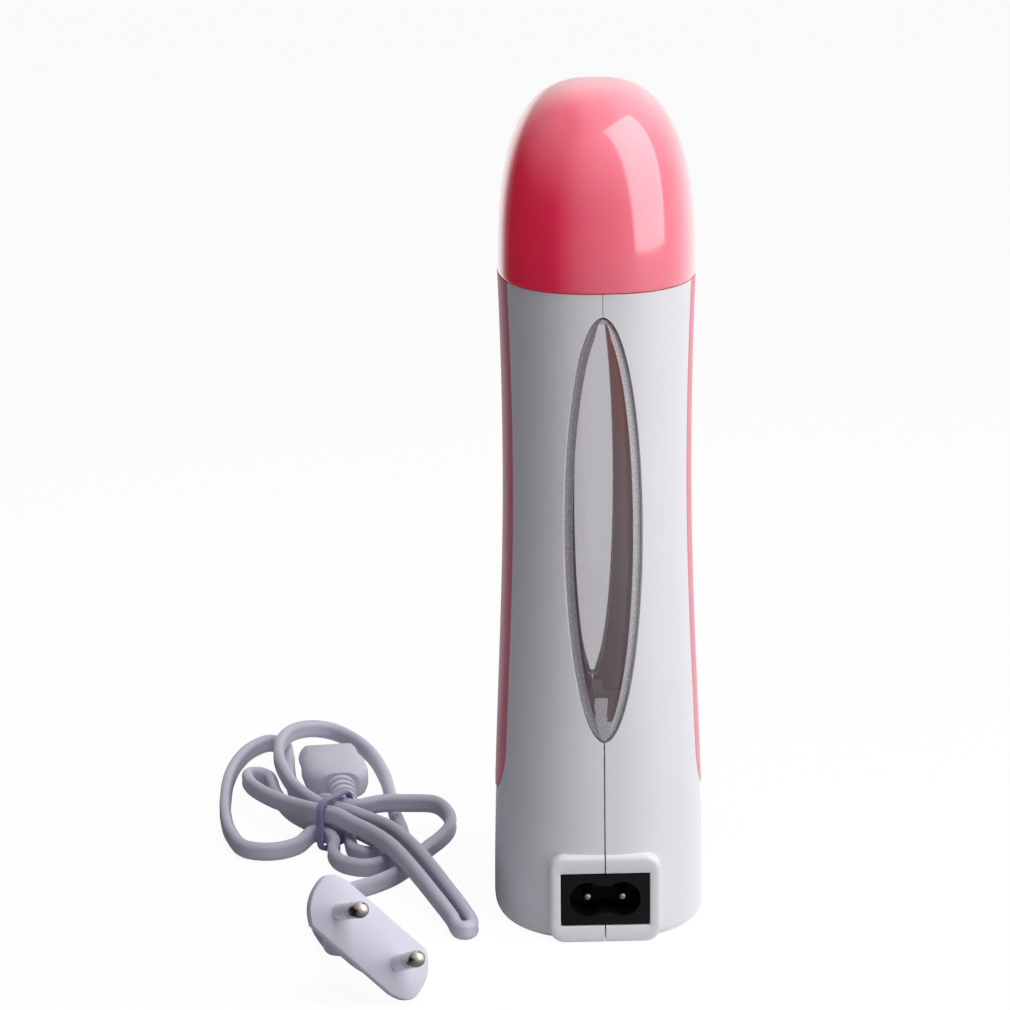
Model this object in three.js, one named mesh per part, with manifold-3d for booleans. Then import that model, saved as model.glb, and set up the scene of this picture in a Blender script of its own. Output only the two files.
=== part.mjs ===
// Roll-on wax heater with its detached mains lead, in millimetres.
// X runs across the front, Y from the front (negative) to the back, Z up.
// The origin is on the floor, in the middle of the heater's foot.
import * as THREE from 'three';
import { mergeVertices } from 'three/addons/utils/BufferGeometryUtils.js';
import Module from 'manifold-3d';

const wasm = await Module();
wasm.setup();

// Driving dimensions of the body
const bodyHeight = 161.5;
const waistHeight = 114;
const baseHalfWidth = 25.8;
const waistHalfWidth = 22.75;
const rimHalfWidth = 23.7;
const baseHalfDepth = 32;
const waistHalfDepth = 28.6;
const rimHalfDepth = 30.2;
const frontSetback = 0.8;
const wall = 2.6;
const baseRound = 2.5;
const sectionPower = 2.4;
const sectionSteps = 36;
const bodySteps = 12;

// Clearances shared by all pieces
const fit = 0.3;
const seamGap = 0.3;
const overrun = 6;

// Cap
const capHeight = 46;
const capWall = 1.6;
const capOverhang = 0.25;
const capDomePower = 2.75;

// Windows, each a tall oval
const windowBottom = 50.4;
const windowTopMargin = 5.6;
const windowTop = bodyHeight - windowTopMargin;
const frontWindowHalfWidth = 9.6;
const rearWindowHalfWidth = 7.6;
const windowBevel = 1.7;
const windowBevelDrop = 0.8;
const windowSink = 0.25;
const windowFlange = 2;
const windowFlangeThickness = 1;
const windowFlangeEnd = 1.5;
const windowSteps = 16;

// Grip inlays
const gripBottom = 31;
const gripHalfBreadth = 13;
const gripThickness = 1.2;
const gripCrown = 0.25;
const gripSteps = 12;

// Mains inlet
const inletWidth = 21.8;
const inletHeight = 13.4;
const inletCentreHeight = 11.1;
const inletDepth = 18;
const inletSink = 0.4;
const inletFlange = 2;
const inletFlangeThickness = 1.5;
const bezelWidth = 27.5;
const bezelTop = 22.3;
const bezelRound = 4;
const bezelWall = 2.4;
const socketLobeRadius = 4.4;
const socketDepth = 10;
const socketBridgeShare = 0.78;
const pinPitch = 8.6;
const pinRadius = 1.2;
const pinSetback = 1.4;
const pinTail = 2.5;

// Heating chamber
const plateInsetX = 6;
const plateInsetY = 4.4;
const plateThickness = 1.1;
const chamberFloorHeight = 45.6;
const chamberFloorThickness = 2;
const restRibHeight = 8;
const restRibThickness = 2.6;
const restRibLength = 14;
const heaterBottom = 97;
const heaterHeight = 32;
const heaterBreadth = 14;
const heaterThickness = 1.6;
const clipThickness = 0.4;
const clipBreadth = 8;
const clipBow = 0.25;
const fuseRadius = 1.3;
const fuseHeight = 11;
const fuseLeadRadius = 0.4;
const fuseLeadLength = 1.2;
const wireRadius = 0.9;

// Collar that joins the halves at the mouth and carries the cap
const neckHeight = 7.7;
const neckInset = 2.3;
const neckBead = 0.3;
const beadBottomShare = 0.45;
const beadTopShare = 0.65;
const mouthInsetX = 6.6;
const mouthInsetY = 5.4;

// Screws through the halves, hidden under the grips
const screwHeight = 40;
const screwSetOff = 8.4;
const screwShankRadius = 1.25;
const screwShankLength = 16;
const screwHeadRadius = 2.8;
const screwHeadHeight = 2;
const bossRadius = 4;

// Lead: a flat twin cable that stands on its narrow edge
const leadWidth = 4.8;
const leadThickness = 3;
const leadGap = 0.8;
const leadLift = 0.25;
const leadStep = 6;

// Tie round the hank's waist, and where it lies on the floor
const tieX = -65.7;
const tieY = 45;
const tieBearing = -36;
const tieThickness = 1;
const tieWidth = 2;
const passHalfLength = 3.5;

// Connector at one end of the lead
const connectorX = -64.2;
const connectorY = 79;
const connectorBearing = 97;
const connectorWidth = 16.2;
const connectorLobeRadius = 4.1;
const connectorNose = 9;
const connectorGripLength = 17;
const connectorGripHeight = 9.4;
const contactRadius = 1.5;
const contactDepth = 8;
const reliefLength = 13;
const reliefRadius = 4;
const reliefEndRadius = 3.1;

// Two-pin plug at the other end, leaning back on its body
const plugX = -57.8;
const plugY = -69;
const plugZ = 16.2;
const plugLength = 35.3;
const plugBreadth = 13.7;
const plugPlateThickness = 4;
const plugBodyLength = 13;
const plugReliefLength = 16;
const plugPinLength = 19;
const plugPinRadius = 2;
const plugPinPitch = 18.6;
const plugPinTipPitch = 17.5;
const plugSleeveLength = 10;
const plugCoreRadius = 1.4;
const plugCoreDepth = 8;
const plugSleeveSeat = 1.2;

// Small helpers
const v3 = (x, y, z) => new THREE.Vector3(x, y, z);
const radians = THREE.MathUtils.degToRad;
const mix = (a, b, share) => a + (b - a) * share;
const fullTurn = 2 * Math.PI;
const half = 0.5;

// Closed solid through matching rings of points, with flat ends
function loft(rings) {
  const count = rings[0].length;
  const points = rings.flat();
  const index = [];
  for (let r = 0; r + 1 < rings.length; r += 1) {
    for (let i = 0; i < count; i += 1) {
      const a = r * count + i;
      const b = r * count + ((i + 1) % count);
      index.push(a, b, b + count, a, b + count, a + count);
    }
  }
  const last = (rings.length - 1) * count;
  for (const [a, b, c] of capTriangles(rings[0])) index.push(a, c, b);
  for (const [a, b, c] of capTriangles(rings.at(-1))) index.push(last + a, last + b, last + c);
  if (signedVolume(points, index) < 0) index.reverse();
  const geometry = new THREE.BufferGeometry();
  const places = points.flatMap((p) => [p.x, p.y, p.z]);
  geometry.setAttribute('position', new THREE.Float32BufferAttribute(places, 3));
  geometry.setIndex(index);
  return geometry;
}

// Triangles of one flat ring, turning the same way as the ring does
function capTriangles(ring) {
  const normal = v3(0, 0, 0);
  ring.forEach((p, i) => normal.add(v3(0, 0, 0).crossVectors(p, ring[(i + 1) % ring.length])));
  const size = [Math.abs(normal.x), Math.abs(normal.y), Math.abs(normal.z)];
  const drop = size.indexOf(Math.max(...size));
  const flat = ring.map((p) => {
    const kept = p.toArray().filter((_, axis) => axis !== drop);
    return new THREE.Vector2(kept[0], kept[1]);
  });
  const ringTurn = Math.sign(THREE.ShapeUtils.area(flat));
  return THREE.ShapeUtils.triangulateShape(flat, []).map(([a, b, c]) => {
    const turn = Math.sign(THREE.ShapeUtils.area([flat[a], flat[b], flat[c]]));
    return turn === ringTurn ? [a, b, c] : [a, c, b];
  });
}

function signedVolume(points, index) {
  let sum = 0;
  const cross = v3(0, 0, 0);
  for (let i = 0; i < index.length; i += 3) {
    cross.crossVectors(points[index[i + 1]], points[index[i + 2]]);
    sum += points[index[i]].dot(cross);
  }
  return sum;
}

// Geometry to solid, for cutting and joining
function solid(geometry) {
  const bare = geometry.clone();
  bare.deleteAttribute('normal');
  bare.deleteAttribute('uv');
  const merged = mergeVertices(bare);
  return new wasm.Manifold(new wasm.Mesh({
    numProp: 3,
    vertProperties: new Float32Array(merged.attributes.position.array),
    triVerts: new Uint32Array(merged.index.array),
  }));
}

function fromSolid(form) {
  const { numProp, vertProperties, triVerts } = form.getMesh();
  const geometry = new THREE.BufferGeometry();
  const count = vertProperties.length / numProp;
  const positions = new Float32Array(3 * count);
  for (let i = 0; i < count; i += 1) {
    for (let axis = 0; axis < 3; axis += 1) positions[3 * i + axis] = vertProperties[numProp * i + axis];
  }
  geometry.setAttribute('position', new THREE.BufferAttribute(positions, 3));
  geometry.setIndex(new THREE.BufferAttribute(new Uint32Array(triVerts), 1));
  return geometry;
}

// Solid block between two corners
function block(low, high) {
  const size = high.clone().sub(low);
  const centre = low.clone().add(high).multiplyScalar(half);
  return solid(new THREE.BoxGeometry(size.x, size.y, size.z).translate(centre.x, centre.y, centre.z));
}

// Solid round bar from one point to another, optionally tapered
function bar(from, to, radius, endRadius = radius, sides = 16) {
  const run = to.clone().sub(from);
  const geometry = new THREE.CylinderGeometry(endRadius, radius, run.length(), sides);
  const turn = new THREE.Quaternion().setFromUnitVectors(v3(0, 1, 0), run.clone().normalize());
  const middle = from.clone().add(to).multiplyScalar(half);
  return solid(geometry.applyQuaternion(turn).translate(middle.x, middle.y, middle.z));
}

// Outline with rounded corners, centred on the origin
function roundedOutline(width, height, radius) {
  const x = width / 2 - radius;
  const y = height / 2 - radius;
  const shape = new THREE.Shape();
  shape.absarc(x, y, radius, 0, radians(90));
  shape.absarc(-x, y, radius, radians(90), radians(180));
  shape.absarc(-x, -y, radius, radians(180), radians(270));
  shape.absarc(x, -y, radius, radians(270), radians(360));
  return shape;
}

// Outline pushed back along +Y from a front plane, with its own up as +Z
function pushBack(shape, frontY, depth, centreZ, curveSegments = 5) {
  const geometry = new THREE.ExtrudeGeometry(shape, { depth, bevelEnabled: false, curveSegments });
  return solid(geometry.rotateX(radians(90)).translate(0, frontY + depth, centreZ));
}

// Body form: a superellipse whose half width and depth draw in to a waist
function drawnIn(z, base, waist, rim) {
  if (z < waistHeight) {
    const swell = (1 - Math.cos(Math.PI * (1 - z / waistHeight))) / 2;
    return mix(waist, base, swell);
  }
  const rise = (z - waistHeight) / (bodyHeight - waistHeight);
  return mix(waist, rim, rise * rise);
}
const halfWidthAt = (z) => drawnIn(z, baseHalfWidth, waistHalfWidth, rimHalfWidth);
const rearDepthAt = (z) => drawnIn(z, baseHalfDepth, waistHalfDepth, rimHalfDepth);
const depthAt = (z, towards) => rearDepthAt(z) - (towards < 0 ? frontSetback : 0);

function superRing(z, halfWidth, rearDepth, frontDepth) {
  const ring = [];
  const power = 2 / sectionPower;
  for (let i = 0; i < sectionSteps; i += 1) {
    const angle = fullTurn * i / sectionSteps;
    const across = Math.cos(angle);
    const along = Math.sin(angle);
    const depth = along < 0 ? frontDepth : rearDepth;
    const x = halfWidth * Math.sign(across) * Math.abs(across) ** power;
    const y = depth * Math.sign(along) * Math.abs(along) ** power;
    ring.push(v3(x, y, z));
  }
  return ring;
}

function bodyRing(z, insetX, insetY) {
  return superRing(z, halfWidthAt(z) - insetX, depthAt(z, 1) - insetY, depthAt(z, -1) - insetY);
}

function bodyForm(insetX, insetY, bottom, top, round = 0) {
  const rings = [];
  for (const turn of round > 0 ? [0, 30, 60] : []) {
    const pull = round * (1 - Math.sin(radians(turn)));
    rings.push(bodyRing(bottom + round * (1 - Math.cos(radians(turn))), insetX + pull, insetY + pull));
  }
  const steps = Math.max(2, Math.round(bodySteps * (top - bottom) / bodyHeight));
  for (let i = 0; i <= steps; i += 1) {
    rings.push(bodyRing(mix(bottom + round, top, i / steps), insetX, insetY));
  }
  return solid(loft(rings));
}

// Depth and width of the body's skin, an inset below it
function skinY(x, z, inset, towards) {
  const reach = Math.min(1, Math.abs(x) / (halfWidthAt(z) - inset));
  return towards * (depthAt(z, towards) - inset) * (1 - reach ** sectionPower) ** (1 / sectionPower);
}
function skinX(y, z, inset, towards) {
  const reach = Math.min(1, Math.abs(y) / (depthAt(z, y) - inset));
  return towards * (halfWidthAt(z) - inset) * (1 - reach ** sectionPower) ** (1 / sectionPower);
}

// Oval outline of a window: half its breadth at a height, grown outwards by a margin
const windowMiddle = (windowBottom + windowTop) / 2;
const windowHalfHeight = (windowTop - windowBottom) / 2;
function oval(halfWidth, grow) {
  const reach = windowHalfHeight + grow;
  const rise = (z) => (z - windowMiddle) / reach;
  const breadth = (z) => (halfWidth + grow) * Math.sqrt(Math.max(0, 1 - rise(z) ** 2));
  return { bottom: windowMiddle - reach, top: windowMiddle + reach, breadth };
}

// Heights through an oval, closer together towards its two ends
const tipHalfBreadth = 0.2;
function ovalSections(outline, makeRing) {
  const rings = [];
  for (let i = 0; i <= windowSteps; i += 1) {
    const share = (1 - Math.cos(Math.PI * i / windowSteps)) / 2;
    const z = mix(outline.bottom, outline.top, share);
    rings.push(makeRing(z, Math.max(tipHalfBreadth, outline.breadth(z))));
  }
  return solid(loft(rings));
}

// Straight cutter with an oval outline, from the middle plane outwards
function ovalCutter(halfWidth, grow, towards) {
  const reach = towards * (baseHalfDepth + overrun);
  return ovalSections(oval(halfWidth, grow), (z, breadth) => [
    v3(-breadth, 0, z), v3(breadth, 0, z), v3(breadth, reach, z), v3(-breadth, reach, z),
  ]);
}

// Curved panel that follows the skin between two insets, with a bevelled edge
function ovalPanel(halfWidth, grow, towards, outerInset, innerInset, bevel, bevelDrop) {
  return ovalSections(oval(halfWidth, grow), (z, breadth) => {
    const flat = Math.max(breadth * half, breadth - bevel);
    const places = [-breadth, -flat, -flat * half, 0, flat * half, flat, breadth];
    const outer = places.map((x) => {
      const drop = Math.abs(x) === breadth ? bevelDrop : 0;
      return v3(x, skinY(x, z, outerInset + drop, towards), z);
    });
    const inner = places.map((x) => v3(x, skinY(x, z, innerInset, towards), z)).reverse();
    return [...outer, ...inner];
  });
}

function windowPane(halfWidth, towards) {
  const flangeTop = wall + fit;
  const pane = ovalPanel(halfWidth, -fit, towards, windowSink, flangeTop + fit, windowBevel, windowBevelDrop);
  const flangeInset = flangeTop + windowFlangeThickness;
  const flange = ovalPanel(halfWidth, windowFlange, towards, flangeTop, flangeInset, windowBevel, 0);
  return pane.add(flange.intersect(block(
    v3(-baseHalfWidth, -baseHalfDepth, windowBottom - windowFlangeEnd),
    v3(baseHalfWidth, baseHalfDepth, windowTop + windowFlangeEnd),
  )));
}

// Grip inlay: a band on the broad side, with a half-round lower end
const gripPlaceShares = [-1, -0.9, -0.5, 0, 0.5, 0.9, 1];
const gripRoundTurns = [8, 25, 45, 65, 90];
function gripBand(towards, grow, outerInset, innerInset, crown) {
  const rings = [];
  const roundCentre = gripBottom + gripHalfBreadth;
  const radius = gripHalfBreadth + grow;
  const push = (z) => {
    const below = Math.max(0, roundCentre - z);
    const breadth = Math.sqrt(Math.max(0, radius ** 2 - below ** 2));
    const places = gripPlaceShares.map((placeShare) => placeShare * Math.max(fit, breadth));
    const outer = places.map((y, i) => {
      const raised = i === 0 || i === places.length - 1 ? 0 : crown;
      return v3(skinX(y, z, outerInset - raised, towards), y, z);
    });
    const inner = places.map((y) => v3(skinX(y, z, innerInset, towards), y, z)).reverse();
    rings.push([...outer, ...inner]);
  };
  for (const turn of gripRoundTurns) push(roundCentre - radius * Math.cos(radians(turn)));
  const top = bodyHeight + (grow > 0 ? overrun : 0);
  for (let i = 1; i <= gripSteps; i += 1) push(mix(roundCentre, top, i / gripSteps));
  return solid(loft(rings));
}

// Materials
function finish(color, roughness, metalness = 0) {
  return new THREE.MeshStandardMaterial({ color, roughness, metalness });
}
const whiteShell = finish('#e9e7ea', 0.32);
const pinkCap = finish('#e5667f', 0.12);
const pinkGrip = finish('#ea7d90', 0.3);
const smokeClear = finish('#a9a7ab', 0.08);
const plateMetal = finish('#6b5d62', 0.45, 0.8);
const blackNylon = finish('#141416', 0.45);
const nickel = finish('#c9c4ba', 0.22, 1);
const ceramic = finish('#d8d2c6', 0.7);
const springSteel = finish('#9b9da0', 0.35, 1);
const wireRed = finish('#9c2b2b', 0.5);
const leadVinyl = finish('#cfcddc', 0.42);
const plugVinyl = finish('#dcdcea', 0.4);
const tieVinyl = finish('#a9a6c6', 0.45);

const group = new THREE.Group();
group.name = 'roll_on_wax_heater';
function add(name, form, material) {
  const geometry = form.isBufferGeometry ? form : fromSolid(form);
  const mesh = new THREE.Mesh(geometry, material);
  mesh.name = name;
  group.add(mesh);
  return mesh;
}

// Hollow body with its socket bezel, before it is split
const outerBody = bodyForm(0, 0, 0, bodyHeight, baseRound);
const hollow = bodyForm(wall, wall, wall, bodyHeight + overrun);
const bezelFace = -baseHalfDepth;
const bezelOutline = roundedOutline(bezelWidth, bezelTop, bezelRound);
const bezel = pushBack(bezelOutline, bezelFace, baseHalfDepth * half, bezelTop / 2);
const flangeHalfWidth = inletWidth / 2 + inletFlange;
const flangeHalfHeight = inletHeight / 2 + inletFlange;
const flangeFront = bezelFace + bezelWall + fit;
const inletPocket = block(
  v3(-flangeHalfWidth - fit, flangeFront - fit, inletCentreHeight - flangeHalfHeight - fit),
  v3(flangeHalfWidth + fit, 0, inletCentreHeight + flangeHalfHeight + fit),
);
const inletOpening = block(
  v3(-inletWidth / 2, bezelFace - overrun, inletCentreHeight - inletHeight / 2),
  v3(inletWidth / 2, 0, inletCentreHeight + inletHeight / 2),
);

// Bosses reach from each wall almost to the seam
const screwPlaces = [-screwSetOff, screwSetOff];
const headSeat = -screwShankLength / 2;
function boss(y, towards) {
  const bossEnd = towards * (halfWidthAt(screwHeight) - wall * half);
  return bar(v3(towards * seamGap, y, screwHeight), v3(bossEnd, y, screwHeight), bossRadius);
}
function screwHole(y) {
  const outside = baseHalfWidth + overrun;
  const reach = headSeat - fit;
  const through = bar(v3(reach, y, screwHeight), v3(-reach, y, screwHeight), screwShankRadius + fit);
  const sink = bar(v3(-outside, y, screwHeight), v3(headSeat + fit, y, screwHeight), screwHeadRadius + fit);
  return through.add(sink);
}

// Ribs on the inner walls that hold the heat plates
const ribSetOff = 14;
const ribThickness = 1.6;
const ribBottom = chamberFloorHeight + chamberFloorThickness + fit;
const collarBottom = windowTop + windowFlangeEnd + fit;
const ribTop = collarBottom - fit;
function plateRibs(towards) {
  const slab = (y) => block(
    v3(Math.min(0, towards * baseHalfWidth), y - ribThickness / 2, ribBottom),
    v3(Math.max(0, towards * baseHalfWidth), y + ribThickness / 2, ribTop),
  );
  const band = bodyForm(wall * half, wall * half, ribBottom, ribTop)
    .subtract(bodyForm(plateInsetX - fit, plateInsetY - fit, ribBottom - overrun, ribTop + overrun));
  return slab(-ribSetOff).add(slab(ribSetOff)).intersect(band);
}

const gripInnerInset = gripThickness + fit;
function shell(towards) {
  const side = block(
    v3(towards < 0 ? -baseHalfDepth : seamGap / 2, -baseHalfDepth - overrun, -overrun),
    v3(towards < 0 ? -seamGap / 2 : baseHalfDepth, baseHalfDepth + overrun, bodyHeight + overrun),
  );
  let form = outerBody.add(bezel).subtract(hollow).subtract(inletPocket).subtract(inletOpening);
  form = form.intersect(side);
  for (const y of screwPlaces) form = form.add(boss(y, towards));
  form = form.add(plateRibs(towards));
  form = form.subtract(ovalCutter(frontWindowHalfWidth, 0, -1));
  form = form.subtract(ovalCutter(rearWindowHalfWidth, 0, 1));
  form = form.subtract(gripBand(towards, fit, -overrun, gripInnerInset, 0));
  for (const y of screwPlaces) form = form.subtract(screwHole(y));
  return form;
}
add('left_shell', shell(-1), whiteShell);
add('right_shell', shell(1), whiteShell);
add('left_grip', gripBand(-1, 0, 0, gripThickness, gripCrown), pinkGrip);
add('right_grip', gripBand(1, 0, 0, gripThickness, gripCrown), pinkGrip);
add('front_window', windowPane(frontWindowHalfWidth, -1), smokeClear);
add('rear_window', windowPane(rearWindowHalfWidth, 1), smokeClear);

// Collar: a skirt between the halves and a neck with a snap bead for the cap
const neckBottom = bodyHeight + fit;
const neckTop = neckBottom + neckHeight;
const beadBottom = neckBottom + neckHeight * beadBottomShare;
const beadTop = neckBottom + neckHeight * beadTopShare;
function collar() {
  const skirtInset = wall + fit;
  const neckRing = (z, inset) => superRing(
    z, rimHalfWidth - inset, rimHalfDepth - inset, rimHalfDepth - frontSetback - inset,
  );
  const outer = solid(loft([
    bodyRing(collarBottom, skirtInset, skirtInset),
    bodyRing(neckBottom, skirtInset, skirtInset),
    neckRing(neckBottom, neckInset),
    neckRing(beadBottom, neckInset),
    neckRing(mix(beadBottom, beadTop, half), neckInset - neckBead),
    neckRing(beadTop, neckInset),
    neckRing(neckTop - neckBead, neckInset),
    neckRing(neckTop, neckInset + neckBead),
  ]));
  const mouth = [collarBottom - overrun, neckTop + overrun].map((z) => superRing(
    z, rimHalfWidth - mouthInsetX, rimHalfDepth - mouthInsetY, rimHalfDepth - frontSetback - mouthInsetY,
  ));
  return outer.subtract(solid(loft(mouth)));
}
add('chamber_collar', collar(), pinkGrip);

// Cap: a dome that keeps the body's section up to its crown
const capBottom = bodyHeight + fit;
const capSteps = 8;
const crownShare = 0.02;
function capForm(inset) {
  const rise = capHeight - inset;
  const halfWidth = rimHalfWidth + capOverhang - inset;
  const rearDepth = rimHalfDepth + capOverhang - inset;
  const frontDepth = rearDepth - frontSetback;
  const rings = [];
  for (let i = 0; i <= capSteps; i += 1) {
    const height = Math.sin(radians(90) * i / capSteps);
    const breadth = Math.max(crownShare, (1 - height ** capDomePower) ** (1 / capDomePower));
    const z = capBottom + rise * height;
    rings.push(superRing(z, halfWidth * breadth, rearDepth * breadth, frontDepth * breadth));
  }
  return solid(loft(rings));
}
const capMouth = loft([capBottom - overrun, capBottom + fit].map((z) => superRing(
  z, rimHalfWidth + capOverhang - capWall, rimHalfDepth + capOverhang - capWall,
  rimHalfDepth + capOverhang - capWall - frontSetback,
)));
add('cap', capForm(0).subtract(capForm(capWall)).subtract(solid(capMouth)), pinkCap);

// Chamber floor with the rib that the cartridge stands on, notched for the wires
const channelInset = (plateInsetX + wall) / 2;
const wireNotchX = halfWidthAt(chamberFloorHeight) - channelInset;
function chamberFloor() {
  const plateTop = chamberFloorHeight + chamberFloorThickness;
  const inset = wall + fit;
  let form = bodyForm(inset, inset, chamberFloorHeight, plateTop);
  form = form.add(block(
    v3(-restRibThickness / 2, -restRibLength / 2, chamberFloorHeight + fit),
    v3(restRibThickness / 2, restRibLength / 2, plateTop + restRibHeight),
  ));
  for (const towards of [-1, 1]) {
    const x = towards * wireNotchX;
    form = form.subtract(bar(v3(x, 0, chamberFloorHeight - fit), v3(x, 0, plateTop + fit), wireRadius + fit));
  }
  return form;
}
add('chamber_floor', chamberFloor(), plateMetal);

// Heat plates: two curved halves of an oval tube, with a slot for each window
const plateFrontSlot = frontWindowHalfWidth + windowFlange + fit;
const plateRearSlot = rearWindowHalfWidth - windowBevel;
function heatPlate(towards) {
  const side = block(
    v3(towards < 0 ? -baseHalfWidth : fit / 2, -baseHalfDepth, ribBottom - overrun),
    v3(towards < 0 ? -fit / 2 : baseHalfWidth, baseHalfDepth, ribTop + overrun),
  );
  const frontSlot = block(
    v3(-plateFrontSlot, -baseHalfDepth, ribBottom - overrun),
    v3(plateFrontSlot, 0, ribTop + overrun),
  );
  return bodyForm(plateInsetX, plateInsetY, ribBottom, ribTop)
    .subtract(bodyForm(plateInsetX + plateThickness, plateInsetY + plateThickness, ribBottom - overrun,
      ribTop + overrun))
    .subtract(frontSlot)
    .subtract(ovalCutter(plateRearSlot, 0, 1))
    .intersect(side);
}
add('left_heat_plate', heatPlate(-1), plateMetal);
add('right_heat_plate', heatPlate(1), plateMetal);

// Heaters lie on the backs of the plates, each held by a bowed spring clip
const heaterTop = heaterBottom + heaterHeight;
const widestPlate = Math.max(halfWidthAt(heaterBottom), halfWidthAt(heaterTop)) - plateInsetX;
const heaterFace = widestPlate + fit;
const clipFace = heaterFace + heaterThickness + fit;
function heater(towards) {
  const inner = towards * heaterFace;
  const outer = towards * (heaterFace + heaterThickness);
  return block(
    v3(Math.min(inner, outer), -heaterBreadth / 2, heaterBottom),
    v3(Math.max(inner, outer), heaterBreadth / 2, heaterTop),
  );
}
const clipStationShares = [0, 0.15, 0.5, 0.85, 1];
function heaterClip(towards) {
  const rings = [];
  for (const share of clipStationShares) {
    const z = mix(heaterBottom, heaterTop, share);
    const bow = clipBow * Math.sin(Math.PI * share);
    const near = towards * (clipFace + bow - clipBow * half);
    const far = near + towards * clipThickness;
    rings.push([
      v3(near, -clipBreadth / 2, z), v3(far, -clipBreadth / 2, z),
      v3(far, clipBreadth / 2, z), v3(near, clipBreadth / 2, z),
    ]);
  }
  return loft(rings);
}
for (const [side, towards] of [['left', -1], ['right', 1]]) {
  add(`${side}_ptc_heater`, heater(towards), ceramic);
  add(`${side}_heater_clip`, heaterClip(towards), springSteel);
}

// Thermal fuse in the left channel, just under its heater
const fuseTop = heaterBottom - fuseLeadLength - fit;
const fuseBottom = fuseTop - fuseHeight;
const fuseX = -(halfWidthAt(fuseTop) - channelInset);
function thermalFuse() {
  const lower = fuseBottom - fuseLeadLength;
  const upper = fuseTop + fuseLeadLength;
  return bar(v3(fuseX, 0, fuseBottom), v3(fuseX, 0, fuseTop), fuseRadius)
    .add(bar(v3(fuseX, 0, lower), v3(fuseX, 0, upper), fuseLeadRadius, fuseLeadRadius, 8));
}
add('thermal_fuse', thermalFuse(), ceramic);

// Inlet: a flanged block with a figure-of-eight socket and two pins
const inletFront = bezelFace + inletSink;
const inletBack = inletFront + inletDepth;
const socketFloor = inletFront + socketDepth;
function inletBody() {
  const across = inletWidth / 2 - fit;
  const up = inletHeight / 2 - fit;
  let form = block(
    v3(-across, inletFront, inletCentreHeight - up),
    v3(across, inletBack, inletCentreHeight + up),
  );
  form = form.add(block(
    v3(-flangeHalfWidth, flangeFront, inletCentreHeight - flangeHalfHeight),
    v3(flangeHalfWidth, flangeFront + inletFlangeThickness, inletCentreHeight + flangeHalfHeight),
  ));
  for (const x of [-pinPitch / 2, pinPitch / 2]) {
    const start = v3(x, inletFront - overrun, inletCentreHeight);
    const floor = v3(x, socketFloor, inletCentreHeight);
    const behind = v3(x, inletBack + overrun, inletCentreHeight);
    form = form.subtract(bar(start, floor, socketLobeRadius, socketLobeRadius, 24));
    form = form.subtract(bar(start, behind, pinRadius + fit, pinRadius + fit, 12));
  }
  const bridge = socketLobeRadius * socketBridgeShare;
  form = form.subtract(block(
    v3(-pinPitch / 2, inletFront - overrun, inletCentreHeight - bridge),
    v3(pinPitch / 2, socketFloor, inletCentreHeight + bridge),
  ));
  return form;
}
add('inlet_body', inletBody(), blackNylon);

const pinFront = inletFront + pinSetback;
const pinBack = inletBack + pinTail;
for (const [side, towards] of [['left', -1], ['right', 1]]) {
  const x = towards * pinPitch / 2;
  const round = pinRadius * half;
  const at = (y) => v3(x, y, inletCentreHeight);
  const pin = bar(at(pinFront + round), at(pinBack), pinRadius, pinRadius, 12)
    .add(bar(at(pinFront), at(pinFront + round), round, pinRadius, 12));
  add(`inlet_pin_${side}`, pin, nickel);
}

// Wires from the inlet pins, through the floor's notches, up the side channels
const wireRiseShares = [0.35, 0.85];
function wire(towards, endZ) {
  const startY = pinBack + fit;
  const channel = (z) => towards * (halfWidthAt(z) - channelInset);
  const points = [
    v3(towards * pinPitch / 2, startY, inletCentreHeight),
    v3(towards * pinPitch / 2, startY + pinTail, inletCentreHeight),
    v3(towards * pinPitch, 0, mix(inletCentreHeight, chamberFloorHeight, wireRiseShares[0])),
    v3(channel(chamberFloorHeight), 0, mix(inletCentreHeight, chamberFloorHeight, wireRiseShares[1])),
    v3(channel(chamberFloorHeight), 0, chamberFloorHeight + chamberFloorThickness),
    v3(channel(mix(chamberFloorHeight, endZ, half)), 0, mix(chamberFloorHeight, endZ, half)),
    v3(channel(endZ), 0, endZ),
  ];
  const path = new THREE.CatmullRomCurve3(points, false, 'centripetal');
  const section = new THREE.Shape();
  section.absarc(0, 0, wireRadius, 0, fullTurn);
  return new THREE.ExtrudeGeometry(section, { steps: 14, extrudePath: path, curveSegments: 6 });
}
add('left_wire', solid(wire(-1, fuseBottom - fuseLeadLength - fit)), wireRed);
add('right_wire', solid(wire(1, heaterBottom - fit)), wireRed);

// Screws, entered from the left under the grip
screwPlaces.forEach((y, i) => {
  const at = (x) => v3(x, y, screwHeight);
  const head = bar(at(headSeat - screwHeadHeight), at(headSeat), screwHeadRadius);
  const shank = bar(at(headSeat - fit), at(-headSeat), screwShankRadius);
  add(`case_screw_${i + 1}`, head.add(shank), springSteel);
});

// Lead: every length of cable is one smooth path swept with the cable's section
const leadBed = leadWidth / 2 + leadLift;
const columnStep = leadThickness + leadGap;
const layerStep = leadWidth + leadGap;
const waistBed = tieThickness + leadGap + leadWidth / 2;
const tieAlong = v3(Math.cos(radians(tieBearing)), Math.sin(radians(tieBearing)), 0);
const tieAcross = v3(-tieAlong.y, tieAlong.x, 0);
const tieCentre = v3(tieX, tieY, 0);

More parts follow.
